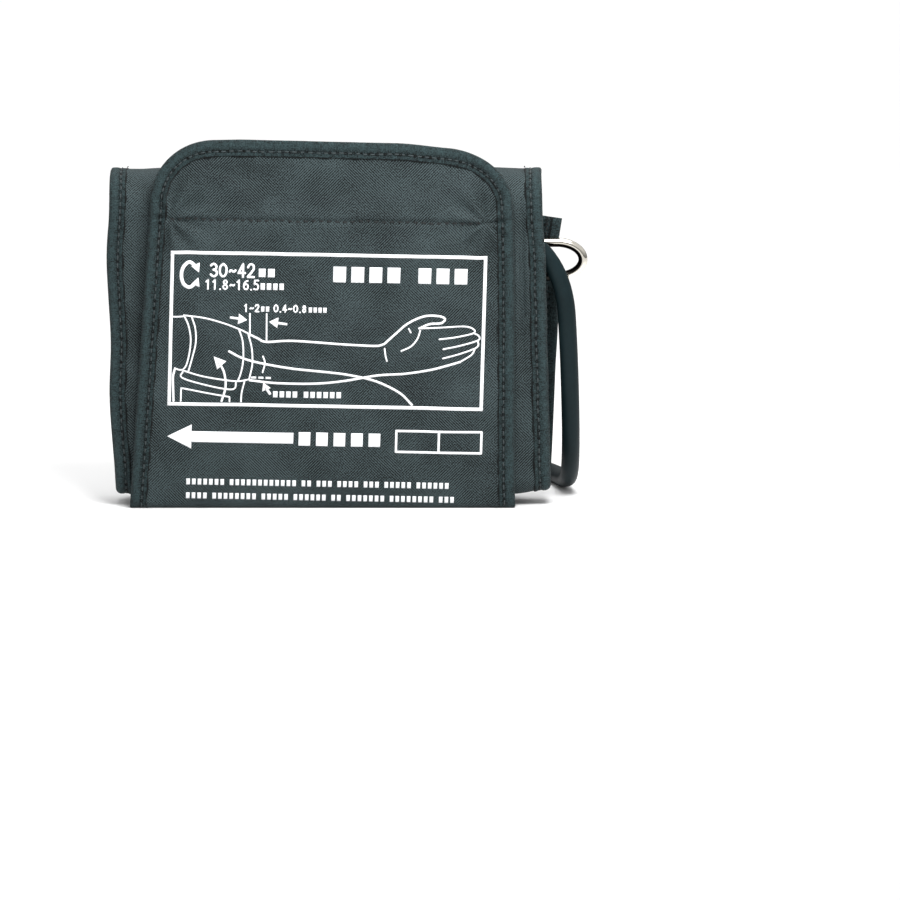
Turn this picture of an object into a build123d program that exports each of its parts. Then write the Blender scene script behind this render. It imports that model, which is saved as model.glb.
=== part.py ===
"""Upper-arm blood pressure cuff, rolled for storage and standing on its folded edge.

The cuff is one long sewn strip. From its free end it runs down the front (the flap), under the base,
up the rear, over the top, down behind the flap, round an inner fold and up again, and ends in a short
strap that holds a steel D-ring. The strip is two cloths, a nylon outside and a loop-pile inside, with
an air bladder between them and a binding tape sewn round its edges. An air hose leaves an elbow
on the bladder, comes out at the right-hand edge, drops to the table and lies coiled behind the roll.

Frame: X across the strip, Y from the front of the roll to its rear, Z up. The origin is the middle of
the flat base that the roll stands on. Lengths are in millimetres and angles in degrees.
"""

from build123d import *
import math
import os

# Cloth, bladder and tape thicknesses
NYLON = 0.5
BLADDER_SHEET = 0.6
LOOP = 1.1
TAPE = 0.4
TAPE_WIDTH = 6.5
SHELL = NYLON + 2 * BLADDER_SHEET + LOOP
FLAP_CLOTH = NYLON + LOOP

# The strip's left and right edges at each place along it
FLAP_END_HALF_WIDTH = 67.3
CREASE_EDGES = (-75.6, 72.9)
TOP_FOLD_EDGES = (-82.8, 83.0)
FRONT_MIDDLE_EDGES = (-84.0, 84.4)
INNER_FOLD_EDGES = (-80.8, 86.8)
INNER_MIDDLE_EDGES = (-79.0, 88.4)
INNER_TOP_EDGES = (-76.0, 80.0)

# The roll's outside faces and fold heights
FLAP_FRONT = -15.0
FLAP_TOP = 142.0
FLAP_CORNER = 24.0
FLAP_TILT = 1.4
FLAP_SPARE = 20.0
CREASE_HEIGHT = 3.0
BASE_FRONT = -11.0
REAR_FACE = 16.0
BASE_CORNER = 4.0
FRONT_FACE = -11.5
FRONT_MIDDLE_HEIGHT = 94.0
TOP_FOLD_START = 116.0
INNER_REAR_FACE = 11.5
INNER_CORNER = 7.0
INNER_FOLD_BOTTOM = 3.8
INNER_MIDDLE_HEIGHT = 84.0
INNER_TOP = 112.0

# Hook patch on the back of the flap's end
HOOK_PATCH = 1.2
HOOK_BOTTOM = 112.0
HOOK_MARGIN = 8.0

# Bladder, from the rear panel over the top to the inner panel
BLADDER_EDGES = (-68.0, 68.0)
BLADDER_REAR_END = 58.0
BLADDER_INNER_END = 106.0

# D-ring: a closed loop of round steel wire, hanging from its upper bar
WIRE_RADIUS = 1.8
RING_CENTRE_X = 14.8
RING_LENGTH = 172.0
RING_HEIGHT = 16.8
RING_Y = 3.0
BAR_HEIGHT = 101.0

# Strap and hem that hold the ring's upper bar
STRAP_HALF_WIDTH = 65.2
HEM_CLEARANCE = 0.1
HEM_WALL = 1.2
TAB_LENGTH = 10.4
TAB_THICKNESS = 2.4
TAB_RISE = 8.5
TAB_BOTTOM = 102.9

# Elbow on the bladder
PORT_X = 44.0
PORT_HEIGHT = 109.5
HOSE_Y = -4.4
PORT_RADIUS = 3.4
PORT_BORE = 1.5
FLANGE_RADIUS = 6.4
FLANGE_THICKNESS = 0.5
SPOUT_LENGTH = 12.0

# Air hose: its free run, its coil and its tail, which rises onto the coil and ends in the plug
HOSE_RADIUS = 3.5
HOSE_DIAMETER = 2 * HOSE_RADIUS
COIL_CENTRE = (30.0, 70.0)
COIL_OUTER = 44.0
COIL_PITCH = 7.0
COIL_ENTRY = 25.0
COIL_EXIT = 748.0
HOSE_ROUTE = [
    (56.0, HOSE_Y, PORT_HEIGHT),
    (67.1, HOSE_Y, PORT_HEIGHT),
    (82.9, HOSE_Y, 100.4),
    (92.0, HOSE_Y, 84.6),
    (93.4, -4.0, 62.0),
    (94.2, -1.5, 40.0),
    (94.6, 5.0, 21.0),
    (94.4, 17.0, 8.0),
    (93.0, 32.0, 3.6),
    (89.0, 50.0, 3.5),
]
TAIL_ROUTE = [
    (48.2, 93.2, 4.5),
    (37.4, 99.6, 8.5),
    (24.4, 102.0, 11.8),
    (10.7, 98.6, 12.5),
    (3.1, 93.8, 12.5),
]

# Plug on the hose's end
GRIP_RADIUS = 4.8
GRIP_LENGTH = 17.0
GROOVES = 4
GROOVE_PITCH = 3.0
GROOVE_RADIUS = 0.8
COLLAR_RADIUS = 5.4
COLLAR_LENGTH = 2.0
NOZZLE_RADIUS = 2.5
NOZZLE_LENGTH = 13.0
PLUG_BORE = 1.2

# Tie round the coil
TIE_WIDTH = 8.0
TIE_WALL = 0.8
TIE_ANGLE = 215.0


def save(name, shape):
    """Write one node's STEP file."""
    export_step(shape, f"parts/{name}.step")


def prism(outline, y_low, y_high):
    """Extrude an outline drawn in X and Z between two values of Y."""
    return extrude(Plane.XZ.offset(-y_high) * outline, amount=y_high - y_low)


def across(outline, x_low, x_high):
    """Extrude an outline drawn in Y and Z between two values of X."""
    return extrude(Plane.YZ.offset(x_low) * outline, amount=x_high - x_low)


def above(height):
    """Everything above a height that lies near the roll."""
    size = 2 * FLAP_TOP
    return Pos(0, 0, height + size / 2) * Box(size, size, size)


def slab(stations, inset=0.0):
    """A panel's outline in X and Z, from its height and its two edges at each station, lowest first."""
    right = [(edges[1] - inset, z) for z, edges in stations]
    left = [(edges[0] + inset, z) for z, edges in reversed(stations)]
    return make_face(Polyline(*right, *left, close=True))


def band(edges, z_low, z_high):
    """A slab whose edges are upright."""
    return slab([(z_low, edges), (z_high, edges)])


def sector(centre, radius, start, sweep, near, far):
    """A slice of a ring in Y and Z, between two depths below its outside radius."""
    outer, inner = radius - near, radius - far
    end = start + sweep
    corners = [
        (centre[0] + r * math.cos(math.radians(a)), centre[1] + r * math.sin(math.radians(a)))
        for r, a in ((outer, start), (outer, end), (inner, end), (inner, start))
    ]
    return make_face(
        [
            CenterArc(centre, outer, start, sweep),
            Line(corners[1], corners[2]),
            CenterArc(centre, inner, start, sweep),
            Line(corners[3], corners[0]),
        ]
    )


def both_edges(edges, width=TAPE_WIDTH):
    """The two bands of X that a binding covers at a place with these edges."""
    return ((edges[0], edges[0] + width), (edges[1] - width, edges[1]))


def panel_nodes(name, outer_y, inward, stations, opening=None):
    """A flat panel of the strip: its nylon, its loop cloth and its two bindings."""

    def layer(near, far, inset):
        y = sorted((outer_y + inward * near, outer_y + inward * far))
        return prism(slab(stations, inset), *y)

    save(f"{name}_nylon", layer(0, NYLON, TAPE))
    loop = layer(SHELL - LOOP, SHELL, TAPE)
    save(f"{name}_loop", loop - opening if opening else loop)
    tape = layer(-TAPE, SHELL + TAPE, 0) - layer(-TAPE, SHELL + TAPE, TAPE_WIDTH)
    save(f"{name}_binding", tape - layer(0, SHELL, TAPE))


def bladder_layers():
    """The bladder's two sheets, from the rear panel over the top fold and down to the inner panel."""
    top_radius = (REAR_FACE - FRONT_FACE) / 2
    top_centre = ((REAR_FACE + FRONT_FACE) / 2, TOP_FOLD_START)
    inner_floor = INNER_FOLD_BOTTOM
    corner_height = inner_floor + INNER_CORNER
    sheets = []
    for number in range(2):
        near = NYLON + number * BLADDER_SHEET
        far = near + BLADDER_SHEET

        def flat(outer_y, inward, z_low, z_high):
            y = sorted((outer_y + inward * near, outer_y + inward * far))
            return prism(band(BLADDER_EDGES, z_low, z_high), *y)

        runs = [
            flat(REAR_FACE, -1, BLADDER_REAR_END, TOP_FOLD_START),
            across(sector(top_centre, top_radius, 0, 180, near, far), *BLADDER_EDGES),
            flat(FRONT_FACE, 1, corner_height, TOP_FOLD_START),
            across(
                sector((FRONT_FACE + INNER_CORNER, corner_height), INNER_CORNER, 180, 90, near, far),
                *BLADDER_EDGES,
            ),
            prism(
                band(BLADDER_EDGES, inner_floor + near, inner_floor + far),
                FRONT_FACE + INNER_CORNER,
                INNER_REAR_FACE - INNER_CORNER,
            ),
            across(
                sector((INNER_REAR_FACE - INNER_CORNER, corner_height), INNER_CORNER, 270, 90, near, far),
                *BLADDER_EDGES,
            ),
            flat(INNER_REAR_FACE, -1, corner_height, BLADDER_INNER_END),
        ]
        sheet = runs[0]
        for run in runs[1:]:
            sheet = sheet + run
        sheets.append(sheet)
    return sheets


def flap_outline(inset=0.0):
    """The flap's outline: it narrows towards a free end with rounded corners, and leans a little.

    It starts below the table, so that it still fills the crease's height once it leans.
    """
    centre = sum(CREASE_EDGES) / 2
    crease_half_width = (CREASE_EDGES[1] - CREASE_EDGES[0]) / 2
    narrowing = (crease_half_width - FLAP_END_HALF_WIDTH) / FLAP_TOP
    bottom = crease_half_width + narrowing * FLAP_SPARE - inset
    top = FLAP_END_HALF_WIDTH - inset
    upright = slab([(-FLAP_SPARE, (-bottom, bottom)), (FLAP_TOP - inset, (-top, top))])
    corners = upright.vertices().group_by(Axis.Y)[-1]
    rounded = fillet(corners, FLAP_CORNER - inset)
    return Pos(centre, 0) * (Rot(0, 0, -FLAP_TILT) * rounded)


def flap_nodes():
    """The moving front flap: nylon face, loop backing, hook patch and binding."""
    back = FLAP_FRONT + FLAP_CLOTH
    cloth = flap_outline(TAPE)
    save("flap_nylon", prism(cloth, FLAP_FRONT, FLAP_FRONT + NYLON) & above(CREASE_HEIGHT))
    save("flap_loop_backing", prism(cloth, FLAP_FRONT + NYLON, back) & above(CREASE_HEIGHT))
    plate = prism(flap_outline(), FLAP_FRONT - TAPE, back + TAPE)
    window = prism(flap_outline(TAPE_WIDTH), FLAP_FRONT - TAPE, back + TAPE)
    binding = plate - window - prism(cloth, FLAP_FRONT, back)
    save("flap_binding", binding & above(CREASE_HEIGHT))
    patch = prism(flap_outline(HOOK_MARGIN), back, back + HOOK_PATCH)
    save("hook_patch", patch & above(HOOK_BOTTOM))


def base_nodes():
    """The flat bottom that the roll stands on, and its rounded rear corner."""
    tapes = both_edges(CREASE_EDGES)
    inner = (tapes[0][1], tapes[1][0])
    corner = (REAR_FACE - BASE_CORNER, BASE_CORNER)

    def layer(edges, near, far):
        flat = prism(band(edges, near, far), BASE_FRONT, corner[0])
        return flat + across(sector(corner, BASE_CORNER, 270, 90, near, far), *edges)

    save("base_nylon", layer(inner, 0, NYLON))
    save("base_loop", layer(inner, SHELL - LOOP, SHELL))
    save("base_binding", Compound([layer(tape, 0, SHELL) for tape in tapes]))


def top_fold_nodes():
    """The half-round fold over the top: its nylon, its loop cloth and its two bindings."""
    radius = (REAR_FACE - FRONT_FACE) / 2
    centre = ((REAR_FACE + FRONT_FACE) / 2, TOP_FOLD_START)

    def layer(edges, near, far):
        return across(sector(centre, radius, 0, 180, near, far), *edges)

    cloth_edges = (TOP_FOLD_EDGES[0] + TAPE, TOP_FOLD_EDGES[1] - TAPE)
    save("top_fold_nylon", layer(cloth_edges, 0, NYLON))
    save("top_fold_loop", layer(cloth_edges, SHELL - LOOP, SHELL))
    cloth = layer(cloth_edges, 0, SHELL)
    tapes = [layer(tape, -TAPE, SHELL + TAPE) - cloth for tape in both_edges(TOP_FOLD_EDGES)]
    save("top_fold_binding", Compound(tapes))


def inner_fold_nodes():
    """The inner fold at the bottom: two rounded corners joined by a short flat."""
    height = INNER_FOLD_BOTTOM + INNER_CORNER
    front = (FRONT_FACE + INNER_CORNER, height)
    rear = (INNER_REAR_FACE - INNER_CORNER, height)

    def layer(edges, near, far):
        flat = prism(band(edges, INNER_FOLD_BOTTOM + near, INNER_FOLD_BOTTOM + far), front[0], rear[0])
        corners = across(sector(front, INNER_CORNER, 180, 90, near, far), *edges)
        corners += across(sector(rear, INNER_CORNER, 270, 90, near, far), *edges)
        return flat + corners

    cloth_edges = (INNER_FOLD_EDGES[0] + TAPE, INNER_FOLD_EDGES[1] - TAPE)
    save("inner_fold_nylon", layer(cloth_edges, 0, NYLON))
    save("inner_fold_loop", layer(cloth_edges, SHELL - LOOP, SHELL))
    cloth = layer(cloth_edges, 0, SHELL)
    tapes = [layer(tape, -TAPE, SHELL + TAPE) - cloth for tape in both_edges(INNER_FOLD_EDGES)]
    save("inner_fold_binding", Compound(tapes))


def elbow():
    """The bladder's moulded elbow: a flange, a stem through the loop cloth and a spout along X.

    It comes with the holes that it needs in the loop cloth and in the bladder's inner sheet.
    """
    back = FRONT_FACE + SHELL
    stem_root = back - LOOP
    stem_x = PORT_X + PORT_RADIUS

    def along_y(radius, y_low, y_high):
        return Pos(stem_x, (y_low + y_high) / 2, PORT_HEIGHT) * (
            Rot(90, 0, 0) * Cylinder(radius, y_high - y_low)
        )

    def along_x(radius, x_low, x_high):
        return Pos((x_low + x_high) / 2, HOSE_Y, PORT_HEIGHT) * (
            Rot(0, 90, 0) * Cylinder(radius, x_high - x_low)
        )

    body = along_y(FLANGE_RADIUS, back, back + FLANGE_THICKNESS)
    body += along_y(PORT_RADIUS, stem_root, HOSE_Y)
    body += Pos(stem_x, HOSE_Y, PORT_HEIGHT) * Sphere(PORT_RADIUS)
    body += along_x(PORT_RADIUS, stem_x, PORT_X + SPOUT_LENGTH)
    body -= along_y(PORT_BORE, stem_root, HOSE_Y)
    body -= along_x(PORT_BORE, stem_x, PORT_X + SPOUT_LENGTH)
    stem_hole = along_y(PORT_RADIUS, stem_root, back)
    air_hole = along_y(PORT_BORE, stem_root - BLADDER_SHEET, stem_root)
    return body, stem_hole, air_hole


def strap_nodes():
    """The strap from the inner panel over its own small fold, and the hem that holds the ring's bar."""
    front = RING_Y - FLAP_CLOTH / 2
    radius = (INNER_REAR_FACE - front) / 2
    centre = (INNER_REAR_FACE - radius, INNER_TOP)
    edges = (RING_CENTRE_X - STRAP_HALF_WIDTH, RING_CENTRE_X + STRAP_HALF_WIDTH)
    hem_radius = WIRE_RADIUS + HEM_CLEARANCE + HEM_WALL
    hem_top = BAR_HEIGHT + hem_radius

    def run(near, far):
        fold = across(sector(centre, radius, 0, 180, near, far), *edges)
        return fold + prism(band(edges, hem_top, INNER_TOP), front + near, front + far)

    save("strap_nylon", run(0, NYLON))
    save("strap_loop", run(NYLON, FLAP_CLOTH))
    length = edges[1] - edges[0]
    axis = Pos(RING_CENTRE_X, RING_Y, BAR_HEIGHT) * Rot(0, 90, 0)
    neck_height = hem_radius - WIRE_RADIUS
    neck = Pos(RING_CENTRE_X, RING_Y, hem_top - neck_height / 2) * Box(length, FLAP_CLOTH, neck_height)
    hem = axis * Cylinder(hem_radius, length) + neck
    save("ring_hem", hem - axis * Cylinder(WIRE_RADIUS + HEM_CLEARANCE, length))
    tabs = [
        Pos(RING_CENTRE_X + side * (STRAP_HALF_WIDTH + TAB_LENGTH / 2), RING_Y, TAB_BOTTOM + TAB_RISE / 2)
        * Box(TAB_LENGTH, TAB_THICKNESS, TAB_RISE)
        for side in (-1, 1)
    ]
    save("hem_tabs", Compound(tabs))


def ring():
    """The D-ring: a long loop of wire with half-round ends, in the plane Y = RING_Y."""
    centre_line = SlotOverall(RING_LENGTH - 2 * WIRE_RADIUS, RING_HEIGHT - 2 * WIRE_RADIUS)
    middle = BAR_HEIGHT - (RING_HEIGHT / 2 - WIRE_RADIUS)
    path = (Pos(RING_CENTRE_X, RING_Y, middle) * (Plane.XZ * centre_line)).wire()
    section = Plane(origin=path @ 0, z_dir=path % 0) * Circle(WIRE_RADIUS)
    return sweep(section, path=path)


def bend_radii(points):
    """The radius of each corner: as large as its two runs allow."""
    radii = []
    for before, corner, after in zip(points, points[1:], points[2:]):
        a, b = Vector(*corner) - Vector(*before), Vector(*after) - Vector(*corner)
        turn = math.radians(a.get_angle(b))
        radii.append(0.45 * min(a.length, b.length) / math.tan(turn / 2))
    return radii


def tube(name, points):
    """A round tube along straight runs joined by tangent arcs."""
    radii = bend_radii(points)
    path = FilletPolyline(*points, radius=radii)
    section = Plane(origin=path @ 0, z_dir=path % 0) * Circle(HOSE_RADIUS)
    solid = sweep(section, path=path)
    expected = math.pi * HOSE_RADIUS**2 * path.length
    print(f"{name}: length {path.length:.1f}, radii {[round(r, 1) for r in radii]}")
    print(f"{name}: volume {solid.volume:.0f}, section times length {expected:.0f}")
    save(name, solid)


def coil_radius(angle):
    """The coil's turns close in by one pitch each."""
    return COIL_OUTER - COIL_PITCH * (angle - COIL_ENTRY) / 360


def coil_point(angle):
    """A point on the coil's line, which lies on the table."""
    turned = math.radians(angle)
    return (
        COIL_CENTRE[0] + coil_radius(angle) * math.cos(turned),
        COIL_CENTRE[1] + coil_radius(angle) * math.sin(turned),
        HOSE_RADIUS,
    )


def coil_band(grow, height):
    """The ring that the coil's turns fill, grown sideways by a margin and standing on the table."""
    outer = COIL_OUTER + HOSE_RADIUS + grow
    inner = coil_radius(COIL_EXIT) - HOSE_RADIUS - grow
    return Pos(*COIL_CENTRE, height / 2) * (Cylinder(outer, height) - Cylinder(inner, height))


def tie():
    """A band over the coil's turns, down to the table on both sides."""
    wrap = coil_band(TIE_WALL, HOSE_DIAMETER + TIE_WALL) - coil_band(0, HOSE_DIAMETER)
    slice_length = 2 * COIL_OUTER
    reach = Rot(0, 0, TIE_ANGLE) * (Pos(slice_length / 2, 0) * Box(slice_length, TIE_WIDTH, slice_length))
    return wrap & (Pos(*COIL_CENTRE) * reach)


def plug():
    """The air plug: a ribbed grip, a collar and a nozzle, with a bore right through."""
    start, before = Vector(*TAIL_ROUTE[-1]), Vector(*TAIL_ROUTE[-2])
    body = Pos(0, 0, GRIP_LENGTH / 2) * Cylinder(GRIP_RADIUS, GRIP_LENGTH)
    for number in range(GROOVES):
        height = GRIP_LENGTH / 2 + GROOVE_PITCH * (number - (GROOVES - 1) / 2)
        body -= Pos(0, 0, height) * Torus(GRIP_RADIUS + GROOVE_RADIUS / 4, GROOVE_RADIUS)
    body += Pos(0, 0, GRIP_LENGTH + COLLAR_LENGTH / 2) * Cylinder(COLLAR_RADIUS, COLLAR_LENGTH)
    nozzle_start = GRIP_LENGTH + COLLAR_LENGTH
    total = nozzle_start + NOZZLE_LENGTH
    body += Pos(0, 0, nozzle_start + NOZZLE_LENGTH / 2) * Cylinder(NOZZLE_RADIUS, NOZZLE_LENGTH)
    body -= Pos(0, 0, total / 2) * Cylinder(PLUG_BORE, total)
    return Plane(origin=start, z_dir=start - before) * body


def hose_nodes():
    """The hose in three lengths, the tie round its coil and the plug on its end."""
    tube("hose", HOSE_ROUTE + [coil_point(COIL_ENTRY)])
    tube("hose_tail", [coil_point(COIL_EXIT)] + TAIL_ROUTE)
    save("hose_coil", coil_band(0, HOSE_DIAMETER))
    save("hose_tie", tie())
    save("air_plug", plug())


def main():
    os.makedirs("parts", exist_ok=True)
    flap_nodes()
    base_nodes()
    rear = [(BASE_CORNER, CREASE_EDGES), (TOP_FOLD_START, TOP_FOLD_EDGES)]
    panel_nodes("rear_panel", REAR_FACE, -1, rear)
    top_fold_nodes()
    body, stem_hole, air_hole = elbow()
    save("bladder_elbow", body)
    fold_end = (INNER_FOLD_BOTTOM + INNER_CORNER, INNER_FOLD_EDGES)
    front = [fold_end, (FRONT_MIDDLE_HEIGHT, FRONT_MIDDLE_EDGES), (TOP_FOLD_START, TOP_FOLD_EDGES)]
    panel_nodes("front_panel", FRONT_FACE, 1, front, opening=stem_hole)
    inner_fold_nodes()
    inner = [fold_end, (INNER_MIDDLE_HEIGHT, INNER_MIDDLE_EDGES), (INNER_TOP, INNER_TOP_EDGES)]
    panel_nodes("inner_panel", INNER_REAR_FACE, -1, inner)
    outer_sheet, inner_sheet = bladder_layers()
    save("bladder_outer_sheet", outer_sheet)
    save("bladder_inner_sheet", inner_sheet - air_hole)
    strap_nodes()
    save("d_ring", ring())
    hose_nodes()


main()
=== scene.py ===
"""A rolled upper-arm blood pressure cuff: the looks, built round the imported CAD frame.

The cuff is one sewn strip of nylon and loop pile. Its soft pieces are drawn flat, in strip coordinates,
and then mapped onto the strip's rolled shape: x is the place across the strip, run is the place along
it, and depth is how far a point lies under the nylon's outer face. One map is for the flap and the crease
below it, and one for the rest of the roll. Lengths are in millimetres until a mesh is made.
"""

import math

import bpy
import numpy as np
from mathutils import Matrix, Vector


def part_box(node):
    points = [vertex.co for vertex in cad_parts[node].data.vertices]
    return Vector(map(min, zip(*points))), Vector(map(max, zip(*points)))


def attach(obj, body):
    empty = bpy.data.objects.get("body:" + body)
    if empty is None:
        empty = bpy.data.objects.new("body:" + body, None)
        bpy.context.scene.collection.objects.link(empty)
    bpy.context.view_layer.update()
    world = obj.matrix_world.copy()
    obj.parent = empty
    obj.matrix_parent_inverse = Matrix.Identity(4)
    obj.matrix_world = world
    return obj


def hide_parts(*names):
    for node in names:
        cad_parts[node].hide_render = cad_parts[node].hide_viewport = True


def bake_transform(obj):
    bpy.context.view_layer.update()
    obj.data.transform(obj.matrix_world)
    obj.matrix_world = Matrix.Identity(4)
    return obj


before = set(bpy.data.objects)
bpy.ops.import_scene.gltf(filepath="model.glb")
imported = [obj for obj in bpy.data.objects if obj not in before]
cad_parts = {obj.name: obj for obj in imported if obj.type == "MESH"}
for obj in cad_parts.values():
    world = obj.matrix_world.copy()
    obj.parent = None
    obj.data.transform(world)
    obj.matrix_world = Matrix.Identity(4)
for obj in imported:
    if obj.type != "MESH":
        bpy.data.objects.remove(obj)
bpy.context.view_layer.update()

MM = 0.001

# The strip's left and right edges at places along it
CREASE_EDGES = (-75.6, 72.9)
TOP_FOLD_EDGES = (-82.8, 83.0)
FRONT_HIGH_EDGES = (-84.3, 84.4)
FRONT_MIDDLE_EDGES = (-82.8, 85.0)
FRONT_LOW_EDGES = (-83.6, 85.8)
INNER_FOLD_EDGES = (-81.4, 86.8)
INNER_MIDDLE_EDGES = (-79.0, 90.2)
INNER_TOP_EDGES = (-76.0, 80.0)
STRAP_EDGES = (-50.4, 80.0)
FRONT_HIGH_DROP = 18.0
FRONT_MIDDLE_DROP = 48.0
FRONT_LOW_DROP = 76.0
INNER_MIDDLE_RISE = 73.2

# The flap's outline
FLAP_END_HALF = 67.3
FLAP_CORNER = 24.0
FLAP_TILT = math.radians(1.4)
FLAP_TOP = 142.0
SEAM_HEIGHT = 111.5
SEAM_DROP = 0.0157
SEAM_ENDS = (-60.0, 61.5)
HOOK_MARGIN = 8.0

# Cloths, tape and thread
NYLON = 0.5
LOOP = 1.1
CLOTH = NYLON + LOOP
EDGE_INSET = 0.9
TAPE_WIDTH = 6.5
STITCH_INSET = 4.3
STITCH_PITCH = 3.0
STITCH_GAP = 0.9
OUTER_THREAD = -0.22
INNER_THREAD = CLOTH + 0.3

# The main view
AIM = Vector((47.7, -15.0, 22.8)) * MM
ELEVATION = math.radians(9.0)
DISTANCE = 2.5
VIEW_WIDTH = 0.3462


# ---------------------------------------------------------------- small tools


def box_mm(node):
    low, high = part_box(node)
    return np.array(low) / MM, np.array(high) / MM


def smoothstep(low, high, value):
    t = np.clip((value - low) / (high - low), 0, 1)
    return t * t * (3 - 2 * t)


def hump(value, centre, width):
    return np.exp(-(((value - centre) / width) ** 2))


def ripple(x, y, wavelength, seed):
    """A smooth random field between about -1 and 1: a few sine waves in fixed random directions."""
    generator = np.random.default_rng(seed)
    total = np.zeros(np.broadcast(x, y).shape)
    waves = 7
    for _ in range(waves):
        angle = generator.uniform(0, math.tau)
        number = math.tau / (wavelength * generator.uniform(0.7, 1.6))
        phase = generator.uniform(0, math.tau)
        total = total + np.sin(number * (x * math.cos(angle) + y * math.sin(angle)) + phase)
    return total / math.sqrt(waves)


def wobble(along, wavelength, seed):
    """The same kind of field along one line."""
    return ripple(along, 0 * along, wavelength, seed)


def distance_along(x, y):
    """How far each point of a line lies from its start."""
    return np.concatenate([[0], np.cumsum(np.hypot(np.diff(x), np.diff(y)))])


def skin_faces(index):
    """Faces between the rows of a grid of point numbers whose rows are closed rings."""
    beside = np.roll(index, -1, axis=1)
    return np.stack([index[:-1], beside[:-1], beside[1:], index[1:]], axis=-1).reshape(-1, 4).tolist()


def tube_faces(rings, around):
    """The faces of a tube with closed ends."""
    index = np.arange(rings * around).reshape(rings, around)
    return skin_faces(index) + [index[0, ::-1].tolist(), index[-1].tolist()]


def loop_faces(rings, around):
    """The faces of a tube that runs back into its own start."""
    index = np.arange(rings * around).reshape(rings, around)
    return skin_faces(np.concatenate([index, index[:1]]))


def settle(piece, slot, *nodes, body="roll"):
    """The piece moves with a body and stands in for CAD nodes. slot is not used."""
    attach(piece, body)
    if nodes:
        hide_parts(*nodes)


def new_mesh(name, points, faces, material, uvs=None):
    """A smooth mesh object from points in millimetres. uvs are the points' strip coordinates."""
    mesh = bpy.data.meshes.new(name)
    mesh.from_pydata((np.asarray(points) * MM).tolist(), [], faces)
    mesh.materials.append(material)
    mesh.polygons.foreach_set("use_smooth", [True] * len(mesh.polygons))
    if uvs is not None:
        layer = mesh.uv_layers.new(name="strip")
        corners = np.zeros(len(mesh.loops), dtype=np.int32)
        mesh.loops.foreach_get("vertex_index", corners)
        layer.data.foreach_set("uv", np.asarray(uvs, dtype=np.float32)[corners].ravel())
    mesh.update()
    piece = bpy.data.objects.new(name, mesh)
    bpy.context.scene.collection.objects.link(piece)
    return piece


class Batch:
    """Closed pieces gathered into one mesh. Each is drawn in strip coordinates and mapped as it's added."""

    def __init__(self, to_shape):
        self.to_shape = to_shape
        self.points, self.uvs, self.faces, self.count = [], [], [], 0

    def add(self, x, run, depth, faces, uvs=None):
        x, run, depth = (np.ravel(value) for value in np.broadcast_arrays(x, run, depth))
        self.points.append(self.to_shape(x, run, depth))
        self.uvs.append(np.stack([x, run], axis=-1) if uvs is None else np.reshape(uvs, (-1, 2)))
        self.faces.extend([corner + self.count for corner in face] for face in faces)
        self.count += len(x)

    def add_sheet(self, x, run, top, bottom):
        """A closed sheet over a grid of places, between two depths."""
        rows, columns = x.shape
        depths = [np.broadcast_to(value, x.shape) for value in (top, bottom)]
        size = rows * columns
        index = np.arange(size).reshape(rows, columns)
        a, b, c, d = index[:-1, :-1], index[:-1, 1:], index[1:, 1:], index[1:, :-1]
        front = np.stack([a, d, c, b], axis=-1).reshape(-1, 4)
        back = np.stack([a, b, c, d], axis=-1).reshape(-1, 4) + size
        rim = np.concatenate([index[0, :], index[1:, -1], index[-1, -2::-1], index[-2:0:-1, 0]])
        after = np.roll(rim, -1)
        wall = np.stack([rim, after, after + size, rim + size], axis=-1)
        both = [np.tile(np.ravel(value), 2) for value in (x, run)]
        depth = np.concatenate([value.ravel() for value in depths])
        self.add(*both, depth, np.concatenate([front, back, wall]).tolist())

    def add_tube(self, x, run, depth, uvs=None):
        """A tube whose rings are the rows of its points."""
        self.add(x, run, depth, tube_faces(*x.shape), uvs)

    def make(self, name, material):
        return new_mesh(name, np.concatenate(self.points), self.faces, material, np.concatenate(self.uvs))


# ---------------------------------------------------------------- the flap's shape

FLAP_FRONT = box_mm("flap_nylon")[0][1]
BASE_FRONT = box_mm("base_nylon")[0][1]
CREASE_RADIUS = 2.5
CREASE_END = CREASE_RADIUS * (1 - math.pi / 2)
FLAP_START = CREASE_END - (BASE_FRONT - FLAP_FRONT - CREASE_RADIUS)
FLAP_CENTRE = sum(CREASE_EDGES) / 2
CREASE_HALF = (CREASE_EDGES[1] - CREASE_EDGES[0]) / 2


def flap_half(up):
    """Half the flap's width at a height along its own axis."""
    straight = CREASE_HALF + (FLAP_END_HALF - CREASE_HALF) * up / FLAP_TOP
    into_corner = np.clip(up - (FLAP_TOP - FLAP_CORNER), 0, FLAP_CORNER)
    return straight - FLAP_CORNER + np.sqrt(FLAP_CORNER**2 - into_corner**2)


def bow(across, up):
    """How far the flap's right edge bows outwards above the middle of its height."""
    return 1.9 * smoothstep(0, 104, up) * smoothstep(146, 120, up) * smoothstep(20, 66, across)


def slack(across, up):
    """How far the flap's edge droops near its free end's corners."""
    near_end = smoothstep(60, FLAP_TOP, up)
    right = 1.5 * smoothstep(25, 50, across) * smoothstep(72, 52, across)
    left = 0.6 * smoothstep(-30, -52, across)
    return (right + left) * near_end


def lean(across, up):
    """From the flap's own upright axes to x and run."""
    across, up = across + bow(across, up), up - slack(across, up)
    x = FLAP_CENTRE + across * math.cos(FLAP_TILT) + up * math.sin(FLAP_TILT)
    return x, up * math.cos(FLAP_TILT) - across * math.sin(FLAP_TILT)


def seam_at(x):
    """The height of the seam across the flap, which drops a little to the right."""
    return SEAM_HEIGHT - SEAM_DROP * x


def inside_flap(x, run):
    """The distance in from the flap's nearer side edge."""
    half = flap_half(np.clip(run, FLAP_START, FLAP_TOP - 0.01))
    centre = FLAP_CENTRE + run * math.sin(FLAP_TILT)
    return half + bow(x - centre, run) - np.abs(x - centre)


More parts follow.
